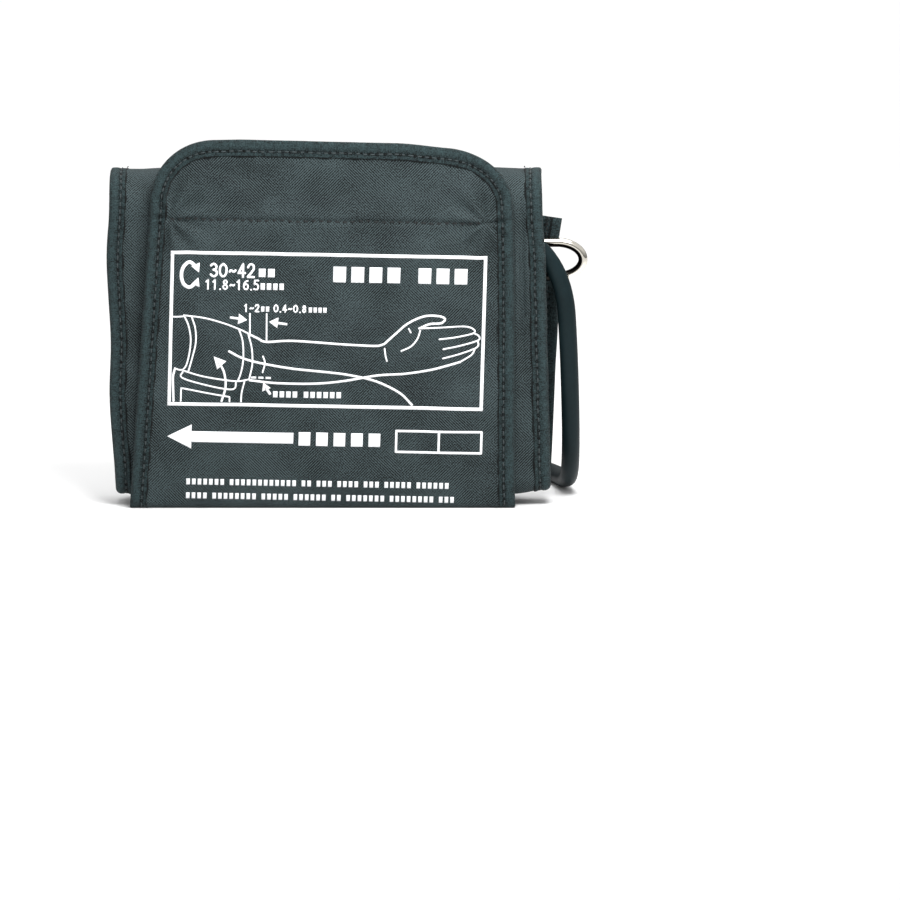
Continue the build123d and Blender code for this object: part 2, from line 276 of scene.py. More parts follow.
def seam_puckers(x, run):
    """Short gathers that spread from the two ends of the seam across the flap."""
    total = 0
    for corner, facing in zip(SEAM_ENDS, (1.0, -1.0)):
        away = np.hypot(x - corner, run - seam_at(x)) + 0.01
        around = np.arctan2(run - seam_at(x), facing * (x - corner))
        total = total + np.sin(8.0 * around) * hump(away, 9.0, 8.0) * smoothstep(0, 4, away)
    return total


def flap_relief(x, run):
    """How far the flap's face stands forward of its flat place."""
    up = smoothstep(4, 30, run)
    inward = inside_flap(x, run)
    belly = 0.45 * up * smoothstep(150, 90, run) * (1 + 0.25 * ripple(x, run, 90, 3))
    waves = up * (0.36 * ripple(x, run, 40, 5) + 0.14 * ripple(x, run, 15, 9)) * smoothstep(0, 12, inward)
    gathers = 0.22 * ripple(x, 0.22 * run, 10, 6) * hump(run, seam_at(x) - 8, 10) * smoothstep(2, 14, inward)
    edge_pull = 0.16 * up * hump(inward, TAPE_WIDTH + 3, 4) * ripple(x * 0.2, run, 11, 8)
    needle = 0.7 + 0.3 * np.cos(math.tau * x / STITCH_PITCH)
    groove = -0.8 * hump(run, seam_at(x), 0.9) * needle
    shoulder = 0.3 * (hump(run, seam_at(x) + 2.4, 2.0) + 0.7 * hump(run, seam_at(x) - 2.6, 2.4))
    beside_crease = x + 64.5 - 0.45 * (20 - run)
    crease = -0.45 * hump(beside_crease, 0, 1.6) * hump(run, 15, 8)
    crease = crease + 0.3 * hump(beside_crease, 3.5, 2.2) * hump(run, 15, 9)
    under_corner = -0.7 * hump(inward, TAPE_WIDTH + 1.5, 2.5) * hump(x, 54, 12) * hump(run, 124, 9)
    from_x, from_run = x + 50, run - 133
    corner_fan = 0.3 * np.sin(9 * np.arctan2(from_run, from_x)) * hump(np.hypot(from_x, from_run), 15, 9)
    inner = groove + shoulder + 0.9 * seam_puckers(x, run) + crease + under_corner + corner_fan
    return belly + smoothstep(0.6, 3.5, inward) * (waves + gathers + edge_pull + inner)


def flap_map(x, run, depth):
    """The flap: upright at FLAP_FRONT, round the crease below, and on to the base."""
    x, run, depth = np.broadcast_arrays(np.asarray(x, float), run, depth)
    angle = np.clip((CREASE_RADIUS - run) / CREASE_RADIUS, 0, math.pi / 2)
    on_base = np.clip(CREASE_END - run, 0, None)
    normal_y, normal_z = -np.cos(angle), -np.sin(angle)
    y = FLAP_FRONT + CREASE_RADIUS + CREASE_RADIUS * normal_y + on_base
    z = CREASE_RADIUS + CREASE_RADIUS * normal_z + np.clip(run - CREASE_RADIUS, 0, None)
    out = flap_relief(x, run) - depth
    return np.stack([x, y + normal_y * out, np.maximum(z + normal_z * out, 0.02)], axis=-1)


# ---------------------------------------------------------------- the roll's shape


def roll_moves():
    """The roll's outer face as straight lengths and turns, from the base's front to the strap's end."""
    base, rear, top = box_mm("base_nylon"), box_mm("rear_panel_nylon"), box_mm("top_fold_nylon")
    front, fold, inner = (box_mm(f"{n}_nylon") for n in ("front_panel", "inner_fold", "inner_panel"))
    strap = box_mm("strap_nylon")
    corner = rear[0][2]
    top_radius = top[1][2] - top[0][2]
    fold_radius = fold[1][2] - fold[0][2]
    strap_radius = (strap[1][1] - strap[0][1]) / 2
    return [
        ("base", base[1][1] - corner - base[0][1], 0),
        ("base_corner", corner * math.pi / 2, corner),
        ("rear", rear[1][2] - rear[0][2], 0),
        ("top_fold", top_radius * math.pi, top_radius),
        ("front", front[1][2] - front[0][2], 0),
        ("fold_front", fold_radius * math.pi / 2, fold_radius),
        ("fold_flat", fold[1][1] - fold[0][1] - 2 * fold_radius, 0),
        ("fold_rear", fold_radius * math.pi / 2, fold_radius),
        ("inner", inner[1][2] - inner[0][2], 0),
        ("strap_fold", strap_radius * math.pi, strap_radius),
        ("strap", inner[1][2] - strap[0][2] + 1.5, 0),
    ]


def trace_roll():
    """Where each move starts: its name, run, length, radius, place in Y and Z, and heading."""
    run, y, z, heading = 0.0, BASE_FRONT, 0.0, 0.0
    starts = []
    for name, length, radius in roll_moves():
        starts.append((name, run, length, radius, y, z, heading))
        turn = length / radius if radius else 0.0
        if radius:
            y += radius * (math.sin(heading + turn) - math.sin(heading))
            z += radius * (math.cos(heading) - math.cos(heading + turn))
        else:
            y += length * math.cos(heading)
            z += length * math.sin(heading)
        run += length
        heading += turn
    return starts, run


ROLL, STRAP_END = trace_roll()
START = {move[0]: move[1] for move in ROLL}
ROLL_END = START["strap_fold"]
TOP_MIDDLE = (START["top_fold"] + START["front"]) / 2


def roll_edges(run):
    """The strip's left and right edges along the roll, eased at each change of slope."""
    stations = [
        (-20, CREASE_EDGES),
        (START["rear"], CREASE_EDGES),
        (START["top_fold"], TOP_FOLD_EDGES),
        (START["front"], TOP_FOLD_EDGES),
        (START["front"] + FRONT_HIGH_DROP, FRONT_HIGH_EDGES),
        (START["front"] + FRONT_MIDDLE_DROP, FRONT_MIDDLE_EDGES),
        (START["front"] + FRONT_LOW_DROP, FRONT_LOW_EDGES),
        (START["fold_front"], INNER_FOLD_EDGES),
        (START["inner"], INNER_FOLD_EDGES),
        (START["inner"] + INNER_MIDDLE_RISE, INNER_MIDDLE_EDGES),
        (ROLL_END, INNER_TOP_EDGES),
    ]
    places = [station[0] for station in stations]
    edges = []
    for side in (0, 1):
        values = [station[1][side] for station in stations]
        eased = [np.interp(run + shift, places, values) for shift in (-7, -3.5, 0, 3.5, 7)]
        edges.append(np.mean(eased, axis=0) + 0.12 * wobble(run, 30, 60 + side))
    return edges[0], edges[1]


BLADDER_HALF = 66.0
BLADDER_LOW = 55.0
FRONT_CREASES = (-71.0, 75.0)


def bladder_share(x, run):
    """How far a point is inside the bladder: 1 in its middle and 0 outside it."""
    low_end = START["rear"] + BLADDER_LOW
    begins = smoothstep(low_end - 7, low_end + 7, run)
    ends = smoothstep(ROLL_END - 4, ROLL_END - 16, run)
    return begins * ends * smoothstep(BLADDER_HALF + 6, BLADDER_HALF - 6, np.abs(x))


def roll_relief(x, run):
    """How far the roll's outer face stands out from its flat or round place."""
    left, right = roll_edges(run)
    inward = np.minimum(x - left, right - x)
    off_base = smoothstep(START["rear"] - 1, START["rear"] + 12, run)
    off_base = off_base * smoothstep(ROLL_END, ROLL_END - 12, run)
    on_front = hump(run, START["front"] + 30, 28)
    waves = 0.2 * ripple(x, run, 46, 21) + 0.08 * ripple(x, run, 17, 22)
    edge_pull = 0.2 * hump(inward, TAPE_WIDTH + 3, 4) * ripple(x * 0.2, run, 15, 23)
    fold_line = FRONT_CREASES[1] + 0.02 * (run - START["front"]) + 0.3 * wobble(run, 22, 24)
    gather = on_front * (0.5 * hump(x, fold_line - 2.4, 1.3) - 1.5 * hump(x, fold_line, 1.0))
    gather = gather - 0.5 * on_front * hump(x, FRONT_CREASES[0], 1.6)
    swell = 0.3 * bladder_share(x, run)
    down_front = smoothstep(START["front"] + 6, START["front"] + 44, run)
    down_front = down_front * smoothstep(ROLL_END, START["inner"], run)
    wing = -0.009 * np.clip(np.abs(x) - 68, 0, None) ** 2 * down_front
    return off_base * (swell + wing + smoothstep(1, 8, inward) * (waves + edge_pull + gather))


def roll_map(x, run, depth):
    """The rest of the strip: base, rear, over the top, front, inner fold, inner panel and strap."""
    x, run, depth = np.broadcast_arrays(np.asarray(x, float), run, depth)
    y, z = np.zeros(x.shape), np.zeros(x.shape)
    normal_y, normal_z = np.zeros(x.shape), np.zeros(x.shape)
    for number, (_, start, length, radius, y0, z0, heading) in enumerate(ROLL):
        first, last = number == 0, number == len(ROLL) - 1
        here = ((run >= start) | first) & ((run < start + length) | last)
        along = run[here] - start
        turned = heading + (along / radius if radius else 0.0 * along)
        if radius:
            y[here] = y0 + radius * (np.sin(turned) - math.sin(heading))
            z[here] = z0 + radius * (math.cos(heading) - np.cos(turned))
        else:
            y[here] = y0 + along * math.cos(heading)
            z[here] = z0 + along * math.sin(heading)
        normal_y[here], normal_z[here] = np.sin(turned), -np.cos(turned)
    out = roll_relief(x, run) - depth
    return np.stack([x, y + normal_y * out, np.maximum(z + normal_z * out, 0.02)], axis=-1)


def roll_runs(first="base", end=None, coarse=2.0, fine=0.9):
    """Places along the roll from one move to another: close together where it turns."""
    runs, started = [], False
    for name, start, length, radius, *_ in ROLL:
        started = started or name == first
        if name == end:
            return np.array(runs + [start])
        if started:
            count = max(2, round(length / (fine if radius else coarse)))
            runs.extend(start + length * step / count for step in range(count))
    return np.array(runs + [STRAP_END])


# ---------------------------------------------------------------- materials


class Finish:
    """A material made of nodes. Its values that stay constant are set on the shader's own sockets."""

    def __init__(self, name, colour, **constants):
        self.material = bpy.data.materials.new(name)
        self.material.use_nodes = True
        self.tree = self.material.node_tree
        self.shader = self.tree.nodes["Principled BSDF"]
        self.shader.inputs["Base Color"].default_value = (*colour, 1)
        self.colour = colour
        for socket, value in constants.items():
            self.shader.inputs[socket.replace("_", " ")].default_value = value

    def feed(self, socket, value):
        if isinstance(value, bpy.types.NodeSocket):
            self.tree.links.new(value, socket)
        else:
            socket.default_value = value

    def node(self, kind, inputs=None, **settings):
        made = self.tree.nodes.new(kind)
        for key, value in settings.items():
            setattr(made, key, value)
        for key, value in (inputs or {}).items():
            self.feed(made.inputs[key], value)
        return made

    def math(self, operation, first, second=0.0):
        return self.node("ShaderNodeMath", {0: first, 1: second}, operation=operation).outputs[0]

    def strip(self):
        """The strip coordinates, in millimetres."""
        uv = self.node("ShaderNodeUVMap", uv_map="strip").outputs[0]
        parts = self.node("ShaderNodeSeparateXYZ", {0: uv}).outputs
        return parts[0], parts[1]

    def plane(self, u, v, stretch_u=1.0, stretch_v=1.0):
        inputs = {0: self.math("MULTIPLY", u, stretch_u), 1: self.math("MULTIPLY", v, stretch_v)}
        return self.node("ShaderNodeCombineXYZ", inputs).outputs[0]

    def place(self):
        return self.node("ShaderNodeTexCoord").outputs["Object"]

    def wave(self, value, pitch):
        """A sine of a length, from 0 to 1."""
        turned = self.math("MULTIPLY", value, math.tau / pitch)
        return self.math("MULTIPLY", self.math("ADD", self.math("SINE", turned), 1.0), 0.5)

    def noise(self, vector, scale, detail=3.0, roughness=0.55):
        inputs = {"Vector": vector, "Scale": scale, "Detail": detail, "Roughness": roughness}
        return self.node("ShaderNodeTexNoise", inputs).outputs["Fac"]

    def ease(self, value, low, high):
        """0 below low, 1 above high and smooth between."""
        inputs = {"Value": value, "From Min": low, "From Max": high}
        return self.node("ShaderNodeMapRange", inputs, interpolation_type="SMOOTHSTEP").outputs[0]

    def spots(self, vector, scale, spread, detail=3.0, roughness=0.55):
        """Noise with its contrast raised: 0 or 1 beyond a spread to both sides of its middle."""
        return self.ease(self.noise(vector, scale, detail, roughness), 0.5 - spread, 0.5 + spread)

    def near(self, value, place, reach, core):
        """1 within core of a place, 0 beyond reach and smooth between."""
        return self.ease(self.math("ABSOLUTE", self.math("SUBTRACT", value, place)), reach, core)

    def weigh(self, *pairs):
        """The sum of values times their weights."""
        total = None
        for value, weight in pairs:
            part = self.math("MULTIPLY", value, weight)
            total = part if total is None else self.math("ADD", total, part)
        return total

    def holes(self, u, v, at, pitch, radius):
        """1 in a row of needle holes that runs along v at one place in u, and 0 elsewhere."""
        beat = self.math("FRACT", self.math("DIVIDE", v, pitch))
        along = self.math("MULTIPLY", self.math("SUBTRACT", beat, 0.5), pitch)
        across = self.math("SUBTRACT", u, at)
        squared = self.math("ADD", self.math("POWER", along, 2.0), self.math("MULTIPLY", across, across))
        return self.ease(self.math("SQRT", squared), radius * 1.5, radius * 0.6)

    def shade(self, factor, dark, light):
        """The base colour runs from dark to light times the finish's own colour."""
        mix = self.node("ShaderNodeMix", data_type="RGBA")
        self.feed(mix.inputs["Factor"], factor)
        colours = [socket for socket in mix.inputs if socket.type == "RGBA"]
        for socket, scale in zip(colours, (dark, light)):
            socket.default_value = tuple(min(part * scale, 1.0) for part in self.colour) + (1,)
        result = next(socket for socket in mix.outputs if socket.type == "RGBA")
        self.tree.links.new(result, self.shader.inputs["Base Color"])

    def rough(self, factor, low, high):
        spread = self.math("MULTIPLY", factor, high - low)
        self.tree.links.new(self.math("ADD", spread, low), self.shader.inputs["Roughness"])

    def relief(self, height, strength=1.0):
        """A bump whose height is in millimetres."""
        inputs = {"Height": height, "Distance": MM, "Strength": strength}
        bump = self.node("ShaderNodeBump", inputs)
        self.tree.links.new(bump.outputs[0], self.shader.inputs["Normal"])


WEAVE_PITCH = 1.12


def weave(finish, u, v):
    """The height of the oxford weave, from 0 to 1. Its diagonals stand out, more in some patches."""
    diagonal = finish.wave(finish.math("ADD", u, v), WEAVE_PITCH)
    counter = finish.wave(finish.math("SUBTRACT", u, v), WEAVE_PITCH)
    patches = finish.spots(finish.plane(u, v), 0.045, 0.12, 2)
    flipped = finish.math("SUBTRACT", 1.0, patches)
    one_way, other_way = finish.math("MULTIPLY", diagonal, patches), finish.math("MULTIPLY", counter, flipped)
    twill = finish.math("ADD", one_way, other_way)
    grain = finish.spots(finish.plane(u, v), 1.7, 0.16, 3, 0.65)
    return finish.weigh((twill, 0.62), (grain, 0.38))


def nylon_finish():
    finish = Finish("nylon", (0.0245, 0.0345, 0.0365), Specular_IOR_Level=0.12, Sheen_Weight=0.02)
    u, v = finish.strip()
    threads = weave(finish, u, v)
    patches = finish.spots(finish.plane(u, v), 0.035, 0.2, 4, 0.6)
    slub = finish.noise(finish.plane(u, v, 1.0, 9.0), 0.12)
    tone = finish.ease(finish.weigh((threads, 0.76), (patches, 0.14), (slub, 0.1)), 0.22, 0.78)
    finish.shade(tone, 0.0, 2.2)
    finish.rough(threads, 0.55, 0.75)
    finish.relief(finish.weigh((threads, 0.16), (slub, 0.03)))
    return finish.material


def tape_finish():
    """Binding tape: felt-like, with a painted highlight on its rolled edge, painted shade in its sewn dip and
    needle holes, and a painted shadow at its lip.
    """
    finish = Finish("binding_tape", (0.0185, 0.031, 0.033), Specular_IOR_Level=0.12, Sheen_Weight=0.04)
    across, along = finish.strip()
    ribs = finish.wave(along, 0.62)
    place = finish.plane(across, along)
    felt = finish.spots(place, 1.8, 0.16, 4, 0.7)
    mottle = finish.spots(place, 0.5, 0.18)
    cloud = finish.noise(place, 0.1, 3)
    # Painted light on the tape: the needle holes are drawn darker in random patches as painted shade in them,
    # the sewn dip darker as painted shade, the lip darker as a painted shadow and the rolled crown lighter as
    # a painted highlight.
    hole_patches = finish.spots(place, 0.2, 0.1, 2)
    needle = finish.math("MULTIPLY", finish.holes(across, along, STITCH_INSET, STITCH_PITCH, 0.5), hole_patches)
    dip = finish.near(across, STITCH_INSET, 0.9, 0.2)
    lip = finish.near(across, TAPE_WIDTH, 0.7, 0.15)
    crown_highlight = finish.near(across, 2.0, 1.6, 0.4)
    cloth = ((ribs, 0.08), (felt, 0.46), (mottle, 0.2), (cloud, 0.2))
    # The painted highlight and painted shade are weighed into the colour here.
    tone_marks = ((crown_highlight, 0.12), (dip, -0.16), (lip, -0.42), (needle, -0.6))
    tone = finish.weigh(*cloth, *tone_marks)
    finish.shade(finish.ease(tone, 0.06, 0.94), 0.1, 2.05)
    finish.rough(mottle, 0.65, 0.85)
    finish.relief(finish.weigh((ribs, 0.05), (felt, 0.2), (mottle, 0.14), (needle, -0.5)))
    return finish.material


def loop_finish():
    """Brushed loops: small curls under a fuzzy nap that lies in soft patches along the strip."""
    matte = {"Specular_IOR_Level": 0.04, "Sheen_Weight": 0.12, "Roughness": 0.95}
    finish = Finish("loop_pile", (0.027, 0.037, 0.041), **matte)
    u, v = finish.strip()
    place = finish.plane(u, v)
    curls = finish.node("ShaderNodeTexVoronoi", {"Vector": place, "Scale": 1.3}).outputs["Distance"]
    fuzz = finish.spots(place, 2.2, 0.2, 4, 0.7)
    nap = finish.spots(finish.plane(u, v, 1.0, 0.3), 0.16, 0.2)
    finish.shade(finish.weigh((curls, 0.45), (fuzz, 0.35), (nap, 0.25)), 0.2, 1.8)
    finish.relief(finish.weigh((curls, 0.35), (fuzz, 0.5)))
    return finish.material


def ink_finish():
    finish = Finish("ink", (0.86, 0.87, 0.89), Specular_IOR_Level=0.25)
    u, v = finish.strip()
    threads = weave(finish, u, v)
    # The ink worn thin in patches.
    tone_marks = finish.noise(finish.plane(u, v), 0.5, 5, 0.7)
    finish.shade(finish.weigh((threads, 0.5), (tone_marks, 0.5)), 0.9, 1.06)
    finish.rough(threads, 0.5, 0.65)
    finish.relief(finish.math("MULTIPLY", threads, 0.05))
    return finish.material


def thread_finish(name, colour):
    finish = Finish(name, colour, Specular_IOR_Level=0.35, Sheen_Weight=0.1)
    across, along = finish.strip()
    twist = finish.wave(finish.math("ADD", across, along), 0.5)
    finish.shade(twist, 0.5, 1.5)
    finish.rough(twist, 0.5, 0.7)
    finish.relief(finish.math("MULTIPLY", twist, 0.05))
    return finish.material


def hook_finish():
    finish = Finish("hook_tape", (0.024, 0.028, 0.03), Specular_IOR_Level=0.45)
    grain = finish.noise(finish.place(), 900, 3)
    finish.shade(grain, 0.6, 1.4)
    finish.rough(grain, 0.35, 0.6)
    finish.relief(finish.math("MULTIPLY", grain, 0.06))
    return finish.material


def wire_finish():
    """Nickel plate with a painted dark reflection. Its second strip coordinate says how dark the wire is
    drawn: on the loop's inner side and on the lower bar.
    """
    finish = Finish("nickel", (0.67, 0.64, 0.57), Metallic=1.0)
    _, painted_dark_reflection = finish.strip()
    scuffs = finish.noise(finish.place(), 420, 5, 0.65)
    fine = finish.noise(finish.place(), 60, 3)
    # The painted dark reflection, broken up by fine noise, darkens the base colour towards black.
    patchy = finish.math("MULTIPLY", painted_dark_reflection, finish.weigh((fine, 0.5), (0.76, 1.0)))
    finish.shade(finish.math("SUBTRACT", 1.0, finish.ease(patchy, 0.25, 0.75)), 0.02, 1.04)
    finish.rough(scuffs, 0.06, 0.2)
    finish.relief(finish.math("MULTIPLY", scuffs, 0.004))
    return finish.material


def rubber_finish(name, colour, grain_scale):
    finish = Finish(name, colour, Specular_IOR_Level=0.1)
    grain = finish.noise(finish.place(), grain_scale, 4)
    bloom = finish.noise(finish.place(), grain_scale / 9, 3)
    finish.shade(finish.weigh((grain, 0.4), (bloom, 0.6)), 0.5, 1.5)
    finish.rough(finish.weigh((grain, 0.5), (bloom, 0.5)), 0.36, 0.6)
    finish.relief(finish.math("MULTIPLY", grain, 0.03))
    return finish.material


def plastic_finish(name, colour, low, high):
    finish = Finish(name, colour, Specular_IOR_Level=0.5)
    grain = finish.noise(finish.place(), 1500, 3)
    # Patches of wear in the plastic's tone and roughness.
    tone_marks = finish.noise(finish.place(), 130, 4)
    finish.shade(tone_marks, 0.86, 1.1)
    finish.rough(finish.weigh((grain, 0.4), (tone_marks, 0.6)), low, high)
    finish.relief(finish.math("MULTIPLY", grain, 0.015))
    return finish.material


NYLON_CLOTH = nylon_finish()
TAPE_CLOTH = tape_finish()
LOOP_PILE = loop_finish()
INK = ink_finish()
THREAD = thread_finish("tape_thread", (0.03, 0.043, 0.046))
SEAM_THREAD = thread_finish("seam_thread", (0.005, 0.008, 0.009))
HOOK_TAPE = hook_finish()
WIRE = wire_finish()
HOSE_RUBBER = rubber_finish("hose_rubber", (0.006, 0.013, 0.015), 700)
ELBOW_RUBBER = rubber_finish("elbow_rubber", (0.02, 0.023, 0.025), 900)
BLADDER_RUBBER = rubber_finish("bladder_rubber", (0.05, 0.05, 0.055), 300)
PLUG_PLASTIC = plastic_finish("plug_plastic", (0.5, 0.52, 0.53), 0.25, 0.42)
TIE_PLASTIC = plastic_finish("tie_plastic", (0.02, 0.021, 0.022), 0.5, 0.7)


# ---------------------------------------------------------------- stage, camera and lights


def make_camera():
    camera = bpy.data.cameras.new("camera")
    camera.sensor_width = 36.0
    camera.lens = camera.sensor_width * DISTANCE / VIEW_WIDTH
    holder = bpy.data.objects.new("camera", camera)
    back = Vector((0, -math.cos(ELEVATION), math.sin(ELEVATION)))
    holder.location = AIM + back * DISTANCE
    holder.rotation_euler = (math.pi / 2 - ELEVATION, 0, 0)
    bpy.context.scene.collection.objects.link(holder)
    bpy.context.scene.camera = holder


def make_light(name, place, target, size, power):
    lamp = bpy.data.lights.new(name, "AREA")
    lamp.shape = "RECTANGLE"
    lamp.size, lamp.size_y = size
    lamp.energy = power
    holder = bpy.data.objects.new(name, lamp)
    holder.location = place
    aim = Vector(target) - Vector(place)
    holder.rotation_euler = aim.to_track_quat("-Z", "Y").to_euler()
    bpy.context.scene.collection.objects.link(holder)


def make_sun(strength, direction, spread):
    lamp = bpy.data.lights.new("sun", "SUN")
    lamp.energy = strength
    lamp.angle = math.radians(spread)
    holder = bpy.data.objects.new("sun", lamp)
    holder.rotation_euler = Vector(direction).to_track_quat("-Z", "Y").to_euler()
    bpy.context.scene.collection.objects.link(holder)


def make_world():
    """A white studio sky, brightest overhead and dim towards the horizon."""
    world = bpy.data.worlds.new("studio")
    world.use_nodes = True
    tree = world.node_tree
    place = tree.nodes.new("ShaderNodeTexCoord")
    parts = tree.nodes.new("ShaderNodeSeparateXYZ")
    climb = tree.nodes.new("ShaderNodeMapRange")
    for socket, value in (("From Min", 0.05), ("From Max", 0.5), ("To Min", 0.18), ("To Max", 0.84)):
        climb.inputs[socket].default_value = value
    sky = tree.nodes["Background"]
    sky.inputs["Color"].default_value = (1, 1, 1, 1)
    tree.links.new(place.outputs["Generated"], parts.inputs[0])
    tree.links.new(parts.outputs["Z"], climb.inputs["Value"])
    tree.links.new(climb.outputs["Result"], sky.inputs["Strength"])
    bpy.context.scene.world = world


def make_stage():
    material = bpy.data.materials.new("floor")
    material.use_nodes = True
    shader = material.node_tree.nodes["Principled BSDF"]
    shader.inputs["Base Color"].default_value = (0.89, 0.89, 0.89, 1)
    shader.inputs["Roughness"].default_value = 0.9
    shader.inputs["Specular IOR Level"].default_value = 0.05
    floor_half = 9000
    corners = [(x * floor_half, y * floor_half, 0) for x, y in ((-1, -1), (1, -1), (1, 1), (-1, 1))]
    new_mesh("floor", corners, [(0, 1, 2, 3)], material)
    make_world()
    bpy.context.scene.view_settings.view_transform = "Standard"
    make_sun(strength=1.2, direction=(-0.1, -0.16, -1.0), spread=40)
    make_light("key", place=(0.1, -0.25, 0.4), target=(0.02, 0, 0.1), size=(0.24, 0.14), power=2.3)


# ---------------------------------------------------------------- hose

HOSE_RADIUS = 3.5
COIL_CENTRE = (30.0, 70.0)
COIL_OUTER = 44.0
COIL_PITCH = 7.0
COIL_ENTRY = 25.0
COIL_EXIT = 748.0
HOSE_ROUTE = [
    (56.0, -4.4, 109.5),
    (67.1, -4.4, 109.5),
    (82.9, -4.4, 100.4),
    (92.0, -4.4, 84.6),
    (93.4, -4.0, 62.0),
    (94.2, -1.5, 40.0),
    (94.6, 5.0, 21.0),
    (94.4, 17.0, 8.0),
    (93.0, 32.0, 3.6),
    (89.0, 50.0, 3.5),
]
TAIL_ROUTE = [
    (48.2, 93.2, 4.5),
    (37.4, 99.6, 8.5),
    (24.4, 102.0, 11.8),
    (10.7, 98.6, 12.5),
    (3.1, 93.8, 12.5),
]


def coil_radius(angle):
    return COIL_OUTER - COIL_PITCH * (angle - COIL_ENTRY) / 360


def coil_points():
    """The coil's turns, sixteen points to a turn, each turn one pitch inside the last."""
    steps = round(16 * (COIL_EXIT - COIL_ENTRY) / 360)
    points = []
    for step in range(steps + 1):
        angle = COIL_ENTRY + (COIL_EXIT - COIL_ENTRY) * step / steps
        x = COIL_CENTRE[0] + coil_radius(angle) * math.cos(math.radians(angle))
        y = COIL_CENTRE[1] + coil_radius(angle) * math.sin(math.radians(angle))
        points.append((x, y, HOSE_RADIUS))
    return points


def make_hose(pieces):
    curve = bpy.data.curves.new("air_hose", "CURVE")
    curve.dimensions = "3D"
    curve.bevel_depth = HOSE_RADIUS * MM
    curve.bevel_resolution = 8
    curve.resolution_u = 10
    curve.use_fill_caps = True
    curve.materials.append(HOSE_RUBBER)
    route = HOSE_ROUTE + coil_points() + TAIL_ROUTE
    spline = curve.splines.new("NURBS")
    spline.points.add(len(route) - 1)
    for point, place in zip(spline.points, route):
        point.co = (*(value * MM for value in place), 1)
    spline.order_u = 3
    spline.use_endpoint_u = True
    hose = bpy.data.objects.new("air_hose", curve)
    bpy.context.scene.collection.objects.link(hose)
    settle(hose, "hose_rubber", "hose", "hose_coil", "hose_tail")


def make_plug():
    """The air plug: a ribbed grip, a collar and a hollow nozzle with a lip, turned about the hose's end."""
    profile = [(4.2, 0.0), (4.8, 0.6)]
    for groove in range(4):
        middle = 4.0 + 3.0 * groove
        dent = ((4.8, -0.8), (4.35, -0.55), (4.2, 0.0), (4.35, 0.55), (4.8, 0.8))
        profile += [(radius, middle + shift) for radius, shift in dent]
    profile += [(4.8, 16.6), (4.6, 17.0), (5.0, 17.1), (5.4, 17.4), (5.4, 18.6), (5.1, 19.0), (2.6, 19.05)]
    profile += [(2.5, 19.3), (2.5, 28.4), (2.62, 29.2), (2.62, 30.4), (2.3, 31.9), (2.1, 32.0)]
    profile += [(1.3, 32.0), (1.2, 31.8), (1.2, 2.0)]
    start, before = Vector(TAIL_ROUTE[-1]), Vector(TAIL_ROUTE[-2])
    turn = (start - before).to_track_quat("Z", "Y")
    around = 64
    points = []
    for radius, height in profile:
        for step in range(around):
            angle = math.tau * step / around
            place = Vector((radius * math.cos(angle), radius * math.sin(angle), height))
            points.append(tuple(start + turn @ place))
    plug = new_mesh("hose_plug", points, tube_faces(len(profile), around), PLUG_PLASTIC)
    soften_edges(plug)
    settle(plug, "plug_plastic", "air_plug")
    return plug


def soften_edges(piece, degrees=35):
    """Smooth shading, but with an edge wherever the surface turns sharply."""
    bpy.context.view_layer.objects.active = piece
    piece.select_set(True)
    bpy.ops.object.shade_smooth_by_angle(angle=math.radians(degrees))
    piece.select_set(False)


def make_tie():
    """A band round the coil's two turns, flattened where it lies on the table."""
    turn = 215
    angle = math.radians(turn)
    middle = (coil_radius(turn) + coil_radius(turn + 360)) / 2
    reach = (coil_radius(turn) - coil_radius(turn + 360)) / 2
    outward = np.array([math.cos(angle), math.sin(angle), 0.0])
    along = np.array([-math.sin(angle), math.cos(angle), 0.0])
    centre = np.array([*COIL_CENTRE, 0.0]) + outward * middle + np.array([0, 0, HOSE_RADIUS])
    steps, half, wall = 72, 4.0, 0.8
    section = [(-half, 0.12), (-half + 0.15, 0.0), (half - 0.15, 0.0), (half, 0.12)]
    section += [(half, wall - 0.15), (half - 0.2, wall), (-half + 0.2, wall), (-half, wall - 0.15)]
    points, uvs = [], []
    length = 2 * math.pi * HOSE_RADIUS + 4 * reach
    for step in range(steps):
        theta = math.tau * step / steps
        side = math.cos(theta)
        shift = reach * np.clip(side * 3, -1, 1)
        for place, lift in section:
            radius = HOSE_RADIUS + 0.06 + lift
            spot = centre + outward * (shift + radius * math.cos(theta)) + along * place
            spot = spot + np.array([0, 0, radius * math.sin(theta)])
            spot[2] = max(spot[2], 0.02 + 0.1 * lift)
            points.append(tuple(spot))
            uvs.append((place, length * step / steps))
    tie = new_mesh("coil_tie", points, loop_faces(steps, len(section)), TIE_PLASTIC, uvs)
    settle(tie, "tie_plastic", "hose_tie")
    return tie


# ---------------------------------------------------------------- cloth, tape and thread


def tape_section():
    """The binding's section, as pairs of inward distance and depth: a lip, a sewn dip and a rolled edge."""
    outer = [(6.5, -0.04), (6.36, -0.42), (5.9, -0.5), (5.1, -0.4), (4.3, -0.16), (3.6, -0.42)]
    outer += [(2.8, -0.78), (1.9, -0.94), (1.0, -0.8), (0.35, -0.3), (0.0, 0.55)]
    back = [(0.1, 1.3), (0.5, 1.95), (1.1, 2.28), (2.1, 2.34), (3.3, 2.1), (4.3, 1.84), (5.4, 2.05)]
    back += [(6.3, 2.08), (6.5, 1.7)]
    inner = [(6.3, 1.57), (4.3, 1.57), (1.2, 1.57), (0.9, 0.8), (1.2, 0.03), (4.3, 0.03), (6.3, 0.03)]
    return np.array(outer + back + inner), len(outer) + len(back), len(outer)


